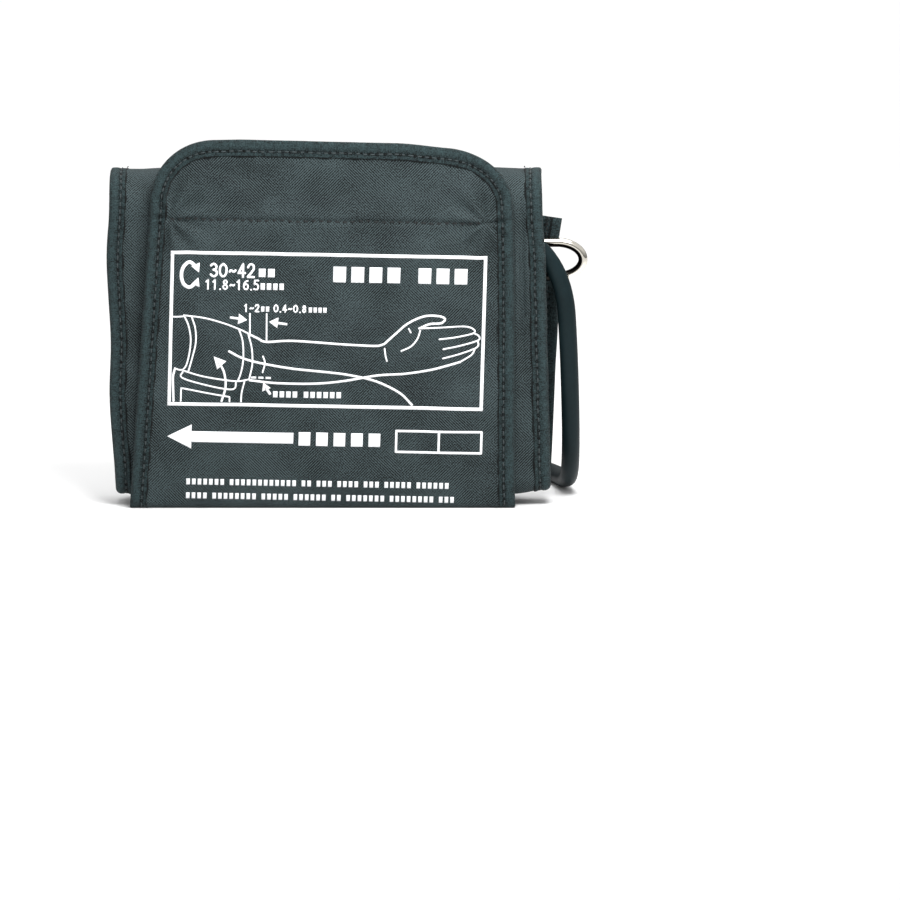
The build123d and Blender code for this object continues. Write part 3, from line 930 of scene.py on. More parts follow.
def make_tape(name, to_shape, x, run, inward, flat=None):
    """A binding tape along an edge, pulled in at every stitch. flat is 1 where it is pressed flat."""
    section, outside_count, front_count = tape_section()
    count, around = len(x), len(section)
    travelled = distance_along(x, run)
    flat = np.zeros(count) if flat is None else flat
    width = np.tile(section[:, 0], (count, 1))
    depth = np.tile(section[:, 1], (count, 1))
    outside = np.arange(around) < outside_count
    middle = CLOTH / 2
    pull = 0.5 + 0.5 * np.cos(math.tau * (travelled / STITCH_PITCH - 0.5))
    pinch = 0.2 * hump(width, STITCH_INSET, 1.1) * pull[:, None] * outside
    depth += np.where(depth < middle, pinch, -pinch)
    seed = sum(name.encode())
    swell = 1 + 0.1 * wobble(travelled, 24, seed)[:, None]
    depth = np.where(outside & (width < 4), middle + (depth - middle) * swell, depth)
    lip = 0.22 * wobble(travelled, 9, seed + 1) + 0.1 * wobble(travelled, 3, seed + 2)
    width += outside * hump(width, TAPE_WIDTH, 0.7) * lip[:, None]
    pressed = np.clip(depth, 0.0, CLOTH)
    depth = depth + (pressed - depth) * flat[:, None] * (depth < middle)
    front = np.arange(around) < front_count
    across = np.where(front, width, 20 - width)
    uvs = np.stack([across, np.tile(travelled[:, None], (1, around))], axis=-1)
    px = x[:, None] + inward[0][:, None] * width
    pr = run[:, None] + inward[1][:, None] * width
    batch = Batch(to_shape)
    batch.add_tube(px, pr, depth, uvs)
    return batch.make(name, TAPE_CLOTH)


def make_stitches(name, to_shape, starts, ends, depth, material, radius=0.24):
    """Sewing thread: one short raised stitch from each start to its end, dipping into the cloth."""
    rings, around = 7, 6
    shares = np.linspace(0, 1, rings)
    dip = 0.42 * np.abs(2 * shares - 1) ** 3 * (1 if depth < CLOTH / 2 else -1)
    thin = 1 - 0.55 * np.abs(2 * shares - 1) ** 4
    angles = math.tau * np.arange(around) / around
    batch = Batch(to_shape)
    for start, end in zip(np.asarray(starts), np.asarray(ends)):
        along = (end - start) / np.linalg.norm(end - start)
        side = np.array([-along[1], along[0]])
        centre = start + (end - start) * shares[:, None]
        offset = radius * thin[:, None] * np.cos(angles)
        x = centre[:, 0:1] + side[0] * offset
        run = centre[:, 1:2] + side[1] * offset
        low = depth + dip[:, None] - radius * 0.9 * thin[:, None] * np.sin(angles)
        uvs = np.stack(np.broadcast_arrays(shares[:, None] * 2, angles / 3), axis=-1)
        batch.add_tube(x, run, low, uvs)
    return batch.make(name, material)


def along_edge(x, run, inward):
    """Stitches that follow an edge, STITCH_INSET inside it: their starts and ends."""
    travelled = distance_along(x, run)
    wander = STITCH_INSET + 0.16 * wobble(travelled, 16, 33)
    px, pr = x + inward[0] * wander, run + inward[1] * wander
    marks = np.arange(STITCH_PITCH, travelled[-1] - STITCH_PITCH, STITCH_PITCH)
    marks = marks + 0.2 * wobble(marks, 7, 34)
    reach = (STITCH_PITCH - STITCH_GAP) / 2 + 0.16 * wobble(marks, 9, 35)
    ends = []
    for shift in (-reach, reach):
        where = marks + shift
        ends.append(np.stack([np.interp(where, travelled, px), np.interp(where, travelled, pr)], axis=-1))
    return ends


def flap_rows(first):
    """Heights along the flap's own axis, closer together round its end's corners."""
    coarse = np.arange(first, FLAP_TOP - FLAP_CORNER, 1.0)
    near = np.arange(SEAM_HEIGHT - 3, SEAM_HEIGHT + 3, 0.35)
    straight = np.concatenate([coarse[coarse < near[0] - 0.3], near, coarse[coarse > near[-1] + 0.3]])
    corner = FLAP_TOP - FLAP_CORNER + (FLAP_CORNER - EDGE_INSET) * np.sin(np.linspace(0, math.pi / 2, 36))
    return np.concatenate([straight, corner])


def flap_grid(up, inset, columns):
    """A grid of places on the flap between its side edges, less a margin."""
    half = flap_half(up) - inset
    across = half[:, None] * np.linspace(-1, 1, columns)[None, :]
    return lean(across, np.broadcast_to(up[:, None], across.shape))


def flap_cloth(name, top, bottom, material):
    """One of the flap's two cloths, cut to the flap's outline less a margin."""
    columns = 201
    x, run = flap_grid(flap_rows(FLAP_START), EDGE_INSET, columns)
    fade = smoothstep(14, 0, run - FLAP_START)
    run = run + (run[:, [columns // 2]] - run) * fade
    batch = Batch(flap_map)
    batch.add_sheet(x, np.maximum(run, FLAP_START), top, bottom)
    return batch.make(name, material)


def flap_outline():
    """The flap's edge from the base's left, up, over the rounded end and down to the base's right."""
    step = 0.5
    up = np.arange(FLAP_START, FLAP_TOP - FLAP_CORNER, step)
    turn = np.linspace(0, math.pi / 2, 76)[1:]
    corner_up = FLAP_TOP - FLAP_CORNER + FLAP_CORNER * np.sin(turn)
    corner = flap_half(FLAP_TOP - FLAP_CORNER) - FLAP_CORNER + FLAP_CORNER * np.cos(turn)
    side_across = np.concatenate([flap_half(up), corner])
    side_up = np.concatenate([up, corner_up])
    end = side_across[-1]
    top = np.arange(-end + step, end - step / 2, step)
    across = np.concatenate([-side_across, top, side_across[::-1]])
    height = np.concatenate([side_up, np.full(len(top), FLAP_TOP), side_up[::-1]])
    x, run = lean(across, height)
    heading = np.stack([np.gradient(x), np.gradient(run)])
    heading /= np.linalg.norm(heading, axis=0)
    return x, run, np.stack([heading[1], -heading[0]])


def roll_side(side):
    """The roll's left (-1) or right (1) edge, from the base to the inner top."""
    run = np.arange(0, ROLL_END, 0.5)
    x = roll_edges(run)[0 if side < 0 else 1]
    inward = np.stack([np.full(len(run), -float(side)), np.zeros(len(run))])
    return x, run, inward


# ---------------------------------------------------------------- print

PRINT_DEPTH = (-0.09, 0.12)
PRINT_MIDDLE = -1.7
PRINT_LEAN = 0.0293
PRINT_DROP = 0.0181


def flap_place(across, up):
    """A place in the print's own axes, as x and run on the flap. The print is a little askew."""
    return PRINT_MIDDLE + 1.004 * across + PRINT_LEAN * up, 0.2 + up - PRINT_DROP * across


def smooth_line(points, spacing=0.7):
    """A Catmull-Rom curve through points, sampled at even steps."""
    points = np.asarray(points, float)
    padded = np.concatenate([[2 * points[0] - points[1]], points, [2 * points[-1] - points[-2]]])
    samples = []
    for a, b, c, d in zip(padded, padded[1:], padded[2:], padded[3:]):
        second, third = 2 * a - 5 * b + 4 * c - d, 3 * b - a - 3 * c + d
        for t in np.linspace(0, 1, 12, endpoint=False):
            samples.append(0.5 * (2 * b + (c - a) * t + second * t**2 + third * t**3))
    samples = np.array(samples + [points[-1]])
    travelled = distance_along(*samples.T)
    count = max(3, math.ceil(travelled[-1] / spacing) + 1)
    even = np.linspace(0, travelled[-1], count)
    return np.stack([np.interp(even, travelled, samples[:, axis]) for axis in (0, 1)], axis=-1)


def add_stroke(batch, points, width, straight=False):
    """A printed line of one width with rounded ends."""
    if straight:
        parts = [np.asarray(p, float) for p in points]
        line = [parts[0]]
        for a, b in zip(parts, parts[1:]):
            count = max(1, math.ceil(np.linalg.norm(b - a) / 0.8))
            line.extend(a + (b - a) * step / count for step in range(1, count + 1))
        line = np.array(line)
    else:
        line = smooth_line(points)
    heading = np.gradient(line, axis=0)
    heading /= np.linalg.norm(heading, axis=1)[:, None] + 1e-9
    half = width / 2
    caps = np.array([1.0, 0.8, 0.4])
    first = line[0] - heading[0] * half * caps[:, None]
    last = line[-1] + heading[-1] * half * caps[::-1][:, None]
    line = np.concatenate([first, line, last])
    heading = np.concatenate([np.repeat(heading[:1], 3, 0), heading, np.repeat(heading[-1:], 3, 0)])
    size = np.full(len(line), half)
    size[:3] = half * np.sqrt(1 - caps**2) + 0.02
    size[-3:] = size[2::-1]
    side = np.stack([heading[:, 1], -heading[:, 0]], axis=-1)
    across = line[:, 0:1] + side[:, 0:1] * size[:, None] * np.array([-1, 1])
    up = line[:, 1:2] + side[:, 1:2] * size[:, None] * np.array([-1, 1])
    batch.add_sheet(*flap_place(across, up), *PRINT_DEPTH)


def add_patch(batch, corners):
    """A filled four-sided shape: bottom left, bottom right, top right, top left."""
    a, b, c, d = (np.asarray(p, float) for p in corners)
    rows = max(2, math.ceil(max(np.linalg.norm(d - a), np.linalg.norm(c - b))) + 1)
    columns = max(2, math.ceil(max(np.linalg.norm(b - a), np.linalg.norm(c - d))) + 1)
    s, t = np.meshgrid(np.linspace(0, 1, columns), np.linspace(0, 1, rows))
    shares = ((1 - s) * (1 - t), s * (1 - t), s * t, (1 - s) * t)
    place = sum(corner * share[..., None] for corner, share in zip((a, b, c, d), shares))
    batch.add_sheet(*flap_place(place[..., 0], place[..., 1]), *PRINT_DEPTH)


def add_block(batch, left, low, width, height):
    right, top = left + width, low + height
    add_patch(batch, [(left, low), (right, low), (right, top), (left, top)])


def add_words(batch, left, low, height, block, gap, words):
    """Wording's place: one plain block for each letter, in words of so many letters."""
    for letters in words:
        for _ in range(letters):
            add_block(batch, left, low, block, height)
            left += block + gap
        left += block


def add_arrow_head(batch, tip, direction, length, width):
    """A filled triangle with its tip at a place."""
    tip, direction = np.asarray(tip, float), np.asarray(direction, float)
    direction = direction / np.linalg.norm(direction)
    side = np.array([-direction[1], direction[0]])
    base, blunt = tip - direction * length, 0.04
    wing = side * width / 2
    add_patch(batch, [base - wing, tip - side * blunt, tip + side * blunt, base + wing])


DIGITS = {
    "0": [[(0.5, 1), (0.05, 0.75), (0.05, 0.25), (0.5, 0), (0.95, 0.25), (0.95, 0.75), (0.5, 1)]],
    "1": [[(0.15, 0.78), (0.5, 0.98)], [(0.5, 1), (0.5, 0)]],
    "2": [
        [(0.05, 0.75), (0.3, 0.98), (0.8, 0.95), (0.9, 0.65), (0.55, 0.35), (0.05, 0.02)],
        [(0.05, 0), (0.95, 0)],
    ],
    "3": [
        [(0.05, 0.85), (0.4, 1), (0.85, 0.85), (0.8, 0.6), (0.4, 0.52)],
        [(0.4, 0.52), (0.9, 0.42), (0.9, 0.12), (0.45, 0), (0.05, 0.15)],
    ],
    "4": [[(0.7, 0), (0.7, 1)], [(0.7, 1), (0.03, 0.3)], [(0.03, 0.3), (1, 0.3)]],
    "5": [
        [(0.9, 1), (0.2, 1)],
        [(0.2, 1), (0.12, 0.55)],
        [(0.12, 0.55), (0.5, 0.66), (0.92, 0.4), (0.7, 0.04), (0.05, 0.08)],
    ],
    "6": [
        [(0.85, 0.95), (0.3, 0.8), (0.05, 0.35), (0.4, 0), (0.9, 0.15), (0.85, 0.5), (0.4, 0.6), (0.08, 0.35)]
    ],
    "8": [
        [(0.5, 0.54), (0.12, 0.74), (0.5, 1), (0.88, 0.74), (0.5, 0.54)],
        [(0.5, 0.54), (0.04, 0.26), (0.5, 0), (0.96, 0.26), (0.5, 0.54)],
    ],
}


def add_number(batch, text, left, low, height, weight):
    """Plain numerals drawn with strokes. A tilde stands between the two ends of a range."""
    width = height * 0.52
    for letter in text:
        if letter == ".":
            add_block(batch, left, low - weight / 2, weight, weight)
            left += weight * 2
            continue
        if letter == "~":
            middle = low + height * 0.45
            wave = [(0.1, -0.05), (0.3, 0.08), (0.7, -0.08), (0.95, 0.05)]
            add_stroke(batch, [(left + width * a, middle + height * b) for a, b in wave], weight)
        else:
            for line in DIGITS[letter]:
                places = [(left + width * a, low + height * b) for a, b in line]
                add_stroke(batch, places, weight, straight=len(line) == 2)
        left += width + weight * 1.15


FRAME_LOW, FRAME_HIGH = 39.0, 98.9
FRAME_LEFT, FRAME_RIGHT = -60.1, 60.6


def print_frame(batch):
    """The rectangle round the pictogram."""
    line = 1.3
    width, height = FRAME_RIGHT - FRAME_LEFT, FRAME_HIGH - FRAME_LOW
    for low in (FRAME_LOW, FRAME_HIGH - line):
        add_block(batch, FRAME_LEFT, low, width, line)
    for left in (FRAME_LEFT, FRAME_RIGHT - line):
        add_block(batch, left, FRAME_LOW + line, line, height - 2 * line)


def print_size_block(batch):
    """The turning arrow, the size range, and blocks where a cuff has its wording."""
    turn = [(-51.0, 93.4), (-53.0, 94.6), (-55.2, 92.6), (-55.9, 89.4), (-55.0, 86.2), (-52.8, 84.8)]
    add_stroke(batch, turn + [(-51.2, 85.8)], 1.35)
    add_arrow_head(batch, (-49.2, 90.6), (0.45, -1.0), 3.4, 3.6)
    add_arrow_head(batch, (-49.4, 88.6), (0.35, 1.0), 3.2, 3.4)
    add_number(batch, "30~42", -44.8, 89.2, 4.9, 0.86)
    add_words(batch, -26.4, 89.3, 3.2, 2.6, 0.9, (2,))
    add_number(batch, "11.8~16.5", -46.6, 84.3, 3.6, 0.66)
    add_words(batch, -25.6, 84.4, 2.5, 1.7, 0.7, (4,))
    add_words(batch, 2.0, 87.8, 6.0, 4.9, 2.0, (4, 3))
    add_number(batch, "1~2", -31.6, 75.9, 2.7, 0.6)
    add_words(batch, -25.2, 75.9, 2.0, 1.3, 0.55, (2,))
    add_number(batch, "0.4~0.8", -20.2, 75.9, 2.7, 0.6)
    add_words(batch, -7.0, 75.9, 2.0, 1.3, 0.55, (4,))


def print_arm(batch):
    """A plain line drawing of an arm with a cuff round it and the hose lying along it."""
    thin, bold = 0.62, 0.85
    cuff_edges = [
        [(-54.6, 74.0), (-52.9, 70.6), (-51.8, 65.6), (-52.0, 60.4), (-53.1, 55.0), (-54.6, 52.6)],
        [(-51.6, 73.6), (-50.1, 69.0), (-49.8, 63.6), (-50.8, 58.4), (-52.4, 52.2)],
        [(-33.4, 68.8), (-31.9, 64.2), (-31.5, 57.6), (-32.2, 52.4), (-33.4, 48.8)],
        [(-29.9, 67.2), (-28.4, 61.8), (-28.0, 55.6), (-29.0, 50.0)],
    ]
    cuff_sides = [
        [(-54.6, 74.0), (-46.8, 73.1), (-39.4, 71.2), (-33.2, 68.9), (-29.8, 67.3)],
        [(-54.6, 52.6), (-47.6, 50.6), (-40.0, 49.4), (-33.4, 48.8), (-29.0, 49.6)],
    ]
    for line in cuff_edges + cuff_sides:
        add_stroke(batch, line, thin)
    shoulder = [[(-59.0, 73.4), (-56.8, 73.4), (-54.6, 73.6)], [(-57.6, 53.4), (-56.0, 52.8), (-54.4, 52.8)]]
    upper = [(-29.8, 67.2), (-26.0, 65.4), (-23.0, 64.2), (-14.0, 64.8), (-3.0, 64.4), (9.0, 63.7)]
    upper += [(19.0, 63.4), (22.2, 64.2)]
    lower = [(-28.8, 49.2), (-19.0, 48.4), (-4.5, 48.4), (7.5, 49.6), (20.0, 51.9), (30.0, 52.7)]
    lower += [(40.0, 54.4), (47.0, 56.4), (51.4, 57.8)]
    thumb = [(22.2, 64.2), (26.2, 68.0), (31.2, 72.4), (37.4, 75.2), (43.0, 75.3), (45.2, 74.2)]
    thumb += [(43.6, 72.6), (39.4, 72.2), (35.4, 70.4)]
    fingers = [
        [(35.4, 70.4), (43.4, 70.9), (52.4, 71.5), (56.0, 70.6), (56.2, 69.0), (49.6, 67.3), (43.2, 66.4)],
        [(56.2, 69.0), (58.2, 68.0), (58.0, 66.3), (51.4, 64.1), (44.8, 62.6)],
        [(58.0, 66.2), (57.6, 63.6), (51.2, 60.9), (44.8, 59.0)],
        [(57.0, 63.2), (55.6, 60.6), (51.4, 57.8)],
    ]
    palm = [
        [(35.8, 69.6), (34.8, 66.4), (32.4, 63.4), (28.8, 61.6)],
        [(31.4, 70.2), (32.2, 68.8)],
        [(22.4, 62.4), (22.8, 59.6), (23.4, 57.6)],
    ]
    for line in shoulder + fingers + palm:
        add_stroke(batch, line, thin)
    for line in (upper, lower, thumb):
        add_stroke(batch, line, bold)
    hose = [(-37.0, 60.3), (-31.6, 57.7), (-24.0, 55.8), (-12.4, 54.1), (1.2, 52.9), (9.0, 51.9)]
    add_stroke(batch, hose + [(19.4, 49.6), (28.4, 45.4), (33.4, 40.8)], bold)
    rest = [(-57.6, 53.0), (-58.2, 50.0), (-58.0, 45.0), (-57.8, 40.8)]
    add_stroke(batch, rest, bold)
    sleeve = [(-55.0, 40.8), (-55.0, 45.8), (-46.0, 44.2), (-36.4, 42.6), (-36.4, 40.8)]
    add_stroke(batch, sleeve, thin, straight=True)
    add_stroke(batch, [(-54.4, 52.2), (-54.8, 49.8), (-46.0, 47.2), (-35.4, 45.6), (-34.0, 48.8)], thin)
    add_stroke(batch, [(-30.8, 48.8), (-31.8, 44.4), (-32.0, 40.8)], thin)
    guide = [(-39.4, 41.0), (-38.0, 46.6), (-38.8, 52.4), (-41.0, 56.0)]
    add_stroke(batch, guide, bold)
    add_arrow_head(batch, (-42.8, 58.2), (-0.75, 0.8), 4.6, 4.8)


def print_position_marks(batch):
    """The two upright ticks between inward arrows, and the mark and pointer at the elbow."""
    for tick in (-29.4, -23.0):
        add_stroke(batch, [(tick, 75.0), (tick + 0.2, 66.4 - 0.3 * (tick + 29.4))], 0.62, straight=True)
    add_stroke(batch, [(-36.6, 73.4), (-33.0, 73.0)], 0.9, straight=True)
    add_arrow_head(batch, (-30.4, 72.6), (1.0, -0.1), 3.4, 4.2)
    add_stroke(batch, [(-19.0, 71.6), (-15.4, 71.2)], 0.9, straight=True)
    add_arrow_head(batch, (-22.0, 72.0), (-1.0, 0.1), 3.4, 4.2)
    add_stroke(batch, [(-24.0, 58.6), (-23.2, 56.0), (-24.0, 52.4)], 0.62)
    for left in (-28.4, -25.6, -22.8):
        add_block(batch, left, 49.9, 2.0, 0.8)
    add_arrow_head(batch, (-23.6, 48.4), (-0.45, 1.0), 3.0, 3.6)
    add_stroke(batch, [(-22.6, 46.4), (-21.0, 44.2)], 1.0, straight=True)
    add_words(batch, -19.8, 42.8, 2.4, 1.75, 0.75, (4, 6))


def print_lower_marks(batch):
    """The long arrow, a range box and blocks where a cuff has its notes."""
    add_arrow_head(batch, (-59.8, 27.0), (-1.0, 0.0), 9.2, 9.4)
    add_patch(batch, [(-51.0, 24.9), (-11.6, 24.9), (-11.6, 29.1), (-51.0, 29.1)])
    add_words(batch, -9.6, 24.2, 5.2, 4.5, 2.2, (5,))
    box = [(27.8, 22.4), (60.4, 22.4), (60.4, 30.6), (27.8, 30.6), (27.8, 22.4)]
    for start, end in zip(box, box[1:]):
        add_stroke(batch, [start, end], 0.9, straight=True)
    add_stroke(batch, [(44.1, 22.4), (44.1, 30.6)], 0.9, straight=True)
    add_words(batch, -52.2, 8.3, 2.3, 1.4, 0.78, (7, 12, 2, 3, 4, 3, 5, 6))
    add_words(batch, -52.2, 2.9, 2.3, 1.4, 0.78, (4, 8, 5, 6, 2, 7, 8, 3))


# ---------------------------------------------------------------- the sewn pieces


def bend_with_flap(piece):
    """Bakes the piece's transform into its mesh. The flap's cloths are already drawn bent round the crease to
    meet the base.
    """
    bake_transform(piece)


def add_loose_end(batch, start, way, depth):
    """A short frayed thread that stands out of a cut end of tape."""
    rings, around = 5, 5
    shares = np.linspace(0, 1, rings)[:, None]
    angles = math.tau * np.arange(around) / around
    radius = 0.16 * (1 - 0.6 * shares)
    x = start[0] + way[0] * shares + 0.3 * np.sin(5 * shares) * way[1] + radius * np.cos(angles)
    run = start[1] + way[1] * shares + 0.25 * np.sin(4 * shares) * way[0] + 0 * angles
    batch.add_tube(x, run, depth + radius * np.sin(angles) - 0.2 * shares)


def make_flap():
    face = flap_cloth("flap_face", 0.0, NYLON, NYLON_CLOTH)
    backing = flap_cloth("flap_loop_cloth", NYLON, CLOTH, LOOP_PILE)
    x, run, inward = flap_outline()
    run = np.maximum(run, FLAP_START)
    flat = smoothstep(4, 1, run)
    tape = make_tape("flap_edge_tape", flap_map, x, run, inward, flat)
    starts, ends = along_edge(x, run, inward)
    sewing = make_stitches("flap_edge_stitches", flap_map, starts, ends, OUTER_THREAD, THREAD)
    back_sewing = make_stitches("flap_back_stitches", flap_map, starts, ends, INNER_THREAD, THREAD)
    marks = np.arange(-59.5, 60.5, STITCH_PITCH)
    row = np.stack([marks, seam_at(marks) + 0.25 * wobble(marks, 12, 71)], axis=-1)
    row_ends = row + np.array([2.0, -0.05])
    seam = make_stitches("hook_seam_stitches", flap_map, row, row_ends, -0.14, SEAM_THREAD, 0.38)
    ends_batch = Batch(flap_map)
    corner = np.array([CREASE_EDGES[0] + TAPE_WIDTH, 1.2])
    for shift, way in ((-0.6, (0.5, -1.6)), (0.1, (1.3, -1.2)), (0.5, (1.6, -0.5))):
        add_loose_end(ends_batch, corner + np.array([shift, 0.2]), way, -0.3)
    frays = ends_batch.make("flap_tape_frays", THREAD)
    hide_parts("flap_nylon")
    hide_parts("flap_loop_backing")
    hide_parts("flap_binding")
    batch = Batch(flap_map)
    for draw in (print_frame, print_size_block, print_arm, print_position_marks, print_lower_marks):
        draw(batch)
    marks_piece = batch.make("printed_marks", INK)
    for piece, slot in (
        (face, "nylon"),
        (backing, "loop_pile"),
        (tape, "binding_tape"),
        (sewing, "binding_tape"),
        (back_sewing, "binding_tape"),
        (frays, "binding_tape"),
        (seam, "nylon"),
        (marks_piece, "nylon"),
    ):
        bend_with_flap(piece)


HOOK_THICKNESS = 0.35
HOOK_HEIGHT = 0.75
HOOK_RADIUS = 0.16
HOOK_PITCH = 1.7


def make_hook_patch():
    """The hook tape sewn to the back of the flap's end: its ground cloth and its rows of small hooks."""
    low, high = SEAM_HEIGHT + 2.0, FLAP_TOP - HOOK_MARGIN
    up = flap_rows(low)
    up = up[up < high - 0.5]
    x, run = flap_grid(up, HOOK_MARGIN, 60)
    ground = Batch(flap_map)
    ground.add_sheet(x, run, CLOTH, CLOTH + HOOK_THICKNESS)
    patch = ground.make("hook_tape_ground", HOOK_TAPE)
    hooks = Batch(flap_map)
    bend = np.array([(0.0, 0.0), (0.0, 0.4), (0.05, 0.68), (0.26, 0.78), (0.4, 0.62)])
    angles = math.tau * (np.arange(4) + 0.5) / 4
    for row, height in enumerate(np.arange(low + 1.4, high - 1.4, HOOK_PITCH)):
        half = float(flap_half(np.array(height))) - HOOK_MARGIN - 1.2
        if height > high - FLAP_CORNER / 3:
            half -= 3.0
        facing = 1 if row % 2 else -1
        for across in np.arange(-half + (row % 2) * HOOK_PITCH / 2, half, HOOK_PITCH):
            cx, cr = lean(across, height)
            away = facing * bend[:, 0:1] + HOOK_RADIUS * np.cos(angles)
            deep = CLOTH + HOOK_THICKNESS - 0.1 + HOOK_HEIGHT * bend[:, 1:2]
            hooks.add_tube(cx + away, cr + HOOK_RADIUS * np.sin(angles), deep)
    teeth = hooks.make("hook_tape_hooks", HOOK_TAPE)
    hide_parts("hook_patch")
    for piece in (patch, teeth):
        bend_with_flap(piece)


BLADDER_THICKNESS = 1.3


def roll_grid(runs, edges):
    """A grid of places between two edges, with closer columns within a margin of each."""
    left, right = edges
    margin = 0.11
    middle = np.linspace(margin, 1 - margin, 82)[1:-1]
    shares = np.concatenate([np.linspace(0, margin, 34), middle, np.linspace(1 - margin, 1, 34)])
    x = (left + EDGE_INSET)[:, None] + (right - left - 2 * EDGE_INSET)[:, None] * shares
    return x, np.broadcast_to(runs[:, None], x.shape)


def make_roll():
    runs = roll_runs(end="strap_fold")
    x, run = roll_grid(runs, roll_edges(runs))
    lining_depth = NYLON + BLADDER_THICKNESS * bladder_share(x, run)
    cloths = []
    for name, top, bottom, material in (
        ("roll_face", 0.0, NYLON, NYLON_CLOTH),
        ("roll_loop_cloth", lining_depth, lining_depth + LOOP, LOOP_PILE),
    ):
        batch = Batch(roll_map)
        batch.add_sheet(x, run, top, bottom)
        cloths.append(batch.make(name, material))
    face, lining = cloths
    tapes = []
    for side, word in ((-1, "left"), (1, "right")):
        ex, er, inward = roll_side(side)
        flat = smoothstep(START["rear"] + 6, START["rear"] - 2, er) + 0.6 * hump(er, TOP_MIDDLE, 16)
        tape = make_tape(f"roll_{word}_tape", roll_map, ex, er, inward, flat)
        starts, ends = along_edge(ex, er, inward)
        outside = make_stitches(f"roll_{word}_stitches", roll_map, starts, ends, OUTER_THREAD, THREAD)
        inside = make_stitches(f"roll_{word}_inner_stitches", roll_map, starts, ends, INNER_THREAD, THREAD)
        tapes.append((tape, outside, inside))
    frays = Batch(roll_map)
    for edge, facing in zip(roll_edges(np.array([TOP_MIDDLE])), (1, -1)):
        lip = edge[0] + facing * (TAPE_WIDTH - 0.1)
        for shift, out, on in ((-0.8, 0.2, 0.3), (0.6, 0.5, -0.2), (1.4, 0.3, 0.5)):
            add_loose_end(frays, (lip, TOP_MIDDLE + shift), (facing * out, on), -0.75)
    loose = frays.make("top_fold_frays", THREAD)
    stretches = ("base", "rear_panel", "top_fold", "front_panel", "inner_fold", "inner_panel")
    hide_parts(*(f"{name}_nylon" for name in stretches))
    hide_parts(*(f"{name}_loop" for name in stretches))
    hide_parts(*(f"{name}_binding" for name in stretches))
    sewn = [piece for pieces in tapes for piece in pieces] + [loose]
    for piece, slot in [(face, "nylon"), (lining, "loop_pile")] + [(piece, "binding_tape") for piece in sewn]:
        settle(piece, slot)


def make_strap():
    """The strap's two cloths, from the inner panel over its small fold to the ring's hem."""
    runs = np.concatenate([[ROLL_END - 6, ROLL_END - 3], roll_runs(first="strap_fold")])
    edges = [np.full(len(runs), value) for value in STRAP_EDGES]
    x, run = roll_grid(runs, edges)
    for name, node, top, bottom, material, slot in (
        ("strap_face", "strap_nylon", -0.1, NYLON, NYLON_CLOTH, "nylon"),
        ("strap_loop_cloth", "strap_loop", NYLON, CLOTH, LOOP_PILE, "loop_pile"),
    ):
        batch = Batch(roll_map)
        batch.add_sheet(x, run, top, bottom)
        piece = batch.make(name, material)
        settle(piece, slot, node)


WIRE_RADIUS = 1.8
HEM_RADIUS = 3.1
HEM_BORE = 1.92


def hem_map(y_centre, z_centre):
    """A place round the ring's bar: x along it, run round it as an angle, depth as a radius."""

    def shape(x, run, depth):
        return np.stack([x, y_centre + depth * np.cos(run), z_centre + depth * np.sin(run)], axis=-1)

    return shape


def make_hem():
    """The cloth tunnel round the ring's upper bar, drawn up into the strap."""
    ring_low, ring_high = box_mm("d_ring")
    bar_y = (ring_low[1] + ring_high[1]) / 2
    bar_z = ring_high[2] - WIRE_RADIUS
    left, right = STRAP_EDGES
    stations = np.linspace(left, right, 110)
    angles = np.linspace(0, math.tau, 49)[:-1]
    neck = hump(np.angle(np.exp(1j * (angles - math.pi / 2))), 0, 0.42)
    wrinkle = 0.12 * ripple(stations[:, None], angles[None, :] * 2.8, 9, 90)
    outer = HEM_RADIUS + 2.2 * neck[None, :] + wrinkle * (1 - neck[None, :])
    inner = np.full_like(outer, HEM_BORE)
    rows, around = outer.shape
    size = rows * around
    index = np.arange(size).reshape(rows, around)
    beside = np.roll(index, -1, axis=1)
    skin = np.stack([index[:-1], index[1:], beside[1:], beside[:-1]], axis=-1).reshape(-1, 4)
    bore = skin[:, ::-1] + size
    near = np.stack([index[0], beside[0], beside[0] + size, index[0] + size], axis=-1)
    far = np.stack([index[-1], index[-1] + size, beside[-1] + size, beside[-1]], axis=-1)
    x = np.tile(np.repeat(stations, around), 2)
    turn = np.tile(angles, 2 * rows)
    uvs = np.stack([x, turn * HEM_RADIUS], axis=-1)
    depth = np.concatenate([outer.ravel(), inner.ravel()])
    batch = Batch(hem_map(bar_y, bar_z))
    batch.add(x, turn, depth, np.concatenate([skin, bore, near, far]).tolist(), uvs)
    hem = batch.make("ring_hem_cloth", NYLON_CLOTH)
    settle(hem, "webbing", "ring_hem")


TAB_TURN = math.radians(-9.0)


def tab_map(left, low, y_face, facing):
    """The ear's own axes: x along it from the strap, run up it, depth back from its front face."""

    def shape(x, run, depth):
        turned_x = x * math.cos(TAB_TURN) - run * math.sin(TAB_TURN)
        turned_z = x * math.sin(TAB_TURN) * facing + run * math.cos(TAB_TURN)
        return np.stack([left + facing * turned_x, y_face + depth, low + turned_z], axis=-1)

    return shape


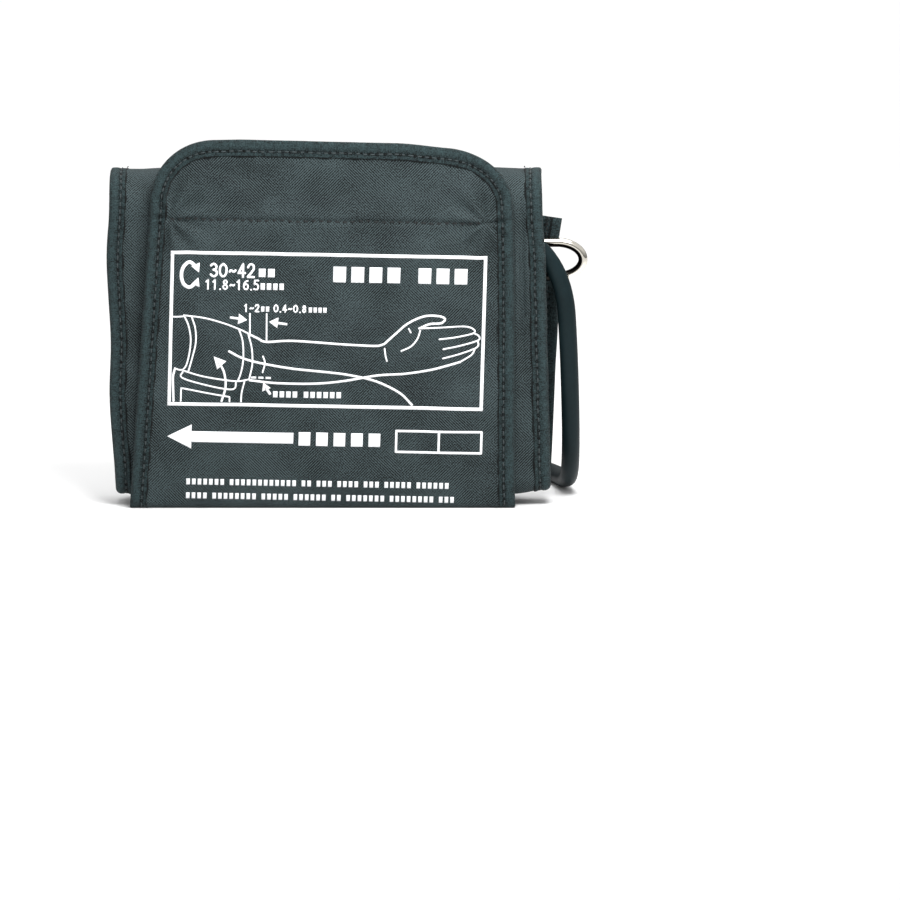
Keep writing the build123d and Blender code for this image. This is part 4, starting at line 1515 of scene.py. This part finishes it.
def make_tabs():
    """The two ears at the hem's ends: a folded tape end, sewn across."""
    low, high = box_mm("hem_tabs")
    trim, shear, seam = 0.75, 1.2, 5.2
    length, thick, height = high[0] - STRAP_EDGES[1], high[1] - low[1], high[2] - low[2] - trim
    ears = Batch(None)
    for word, left, facing, lift in (("right", STRAP_EDGES[1], 1, 1.35), ("left", STRAP_EDGES[0], -1, trim)):
        ears.to_shape = tab_map(left - 0.6 * facing, low[2] + lift, low[1], facing)
        x, run = np.meshgrid(np.linspace(0, length, 30), np.linspace(0, height, 26))
        rim = np.minimum.reduce([length - x, run, height - run])
        round_off = 0.55 * (1 - smoothstep(0, 1.1, rim))
        dent = round_off + 0.3 * hump(x, seam, 0.5) + 0.12 * ripple(x, run, 6, 95)
        run = run - shear * (1 - x / length) * (1 - run / (height + trim))
        ears.add_sheet(x, run, dent, thick - dent)
        starts = np.stack([np.full(4, seam), np.linspace(0.5, 6.1, 4)], axis=-1)
        ends = starts + np.array([0.05, 1.4])
        stitches = make_stitches(f"tab_stitches_{word}", ears.to_shape, starts, ends, 0.12, SEAM_THREAD)
        settle(stitches, "webbing")
    settle(ears.make("hem_ears", TAPE_CLOTH), "webbing", "hem_tabs")


RING_END = 10.0


def make_ring():
    """The D-ring: a loop of round wire whose right end is a long half-oval and left end a half-circle."""
    low, high = box_mm("d_ring")
    middle_z = (low[2] + high[2]) / 2
    rise = (high[2] - low[2]) / 2 - WIRE_RADIUS
    right, left = high[0] - WIRE_RADIUS - RING_END, low[0] + WIRE_RADIUS + rise
    turn = np.linspace(math.pi / 2, -math.pi / 2, 41)
    lengths = np.linspace(0, 1, 61)[1:-1]
    level = np.full(len(lengths), rise)
    xs = np.concatenate([right + RING_END * np.cos(turn), right + (left - right) * lengths])
    xs = np.concatenate([xs, left - rise * np.cos(turn), left + (right - left) * lengths])
    zs = np.concatenate([rise * np.sin(turn), -level, -rise * np.sin(turn), level]) + middle_z
    heading = np.stack([np.roll(xs, -1) - np.roll(xs, 1), np.roll(zs, -1) - np.roll(zs, 1)])
    heading /= np.linalg.norm(heading, axis=0)
    around = 24
    angles = math.tau * np.arange(around) / around
    normal_x = -heading[1][:, None] * np.cos(angles)
    normal_z = heading[0][:, None] * np.cos(angles)
    normal_y = np.broadcast_to(np.sin(angles), normal_x.shape)
    x = xs[:, None] + WIRE_RADIUS * normal_x
    y = (low[1] + high[1]) / 2 + WIRE_RADIUS * normal_y
    z = zs[:, None] + WIRE_RADIUS * normal_z
    # Painted dark reflection: the wire's side that faces into the loop is drawn dark, standing in for a
    # reflection of the dark cloth round it.
    painted_dark_reflection = smoothstep(0.1, 0.32, np.broadcast_to(-np.cos(angles), x.shape))
    # Painted shade: the lower bar, except its right end, is drawn dark where it lies in shadow among the
    # cloth panels.
    lower_bar_painted_shade = smoothstep(91, 87, x) * smoothstep(middle_z, middle_z - 3, z)
    painted_dark_reflection = np.maximum(painted_dark_reflection, lower_bar_painted_shade)
    ring_number = np.broadcast_to(np.arange(len(xs))[:, None], x.shape)
    points = np.stack([x, y, z], axis=-1).reshape(-1, 3)
    uvs = np.stack([ring_number, painted_dark_reflection], axis=-1).reshape(-1, 2)
    ring = new_mesh("ring_wire", points, loop_faces(*x.shape), WIRE, uvs)
    settle(ring, "wire", "d_ring", body="d_ring")


def shade_cad():
    """The CAD nodes whose own shape is right get their finishes."""
    finishes = {
        "bladder_elbow": ELBOW_RUBBER,
        "bladder_outer_sheet": BLADDER_RUBBER,
        "bladder_inner_sheet": BLADDER_RUBBER,
    }
    for node, material in finishes.items():
        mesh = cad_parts[node].data
        mesh.materials.clear()
        mesh.materials.append(material)


make_camera()
make_hose([make_plug(), make_tie()])
make_stage()
make_flap()
make_hook_patch()
make_roll()
make_strap()
make_hem()
make_tabs()
make_ring()
shade_cad()
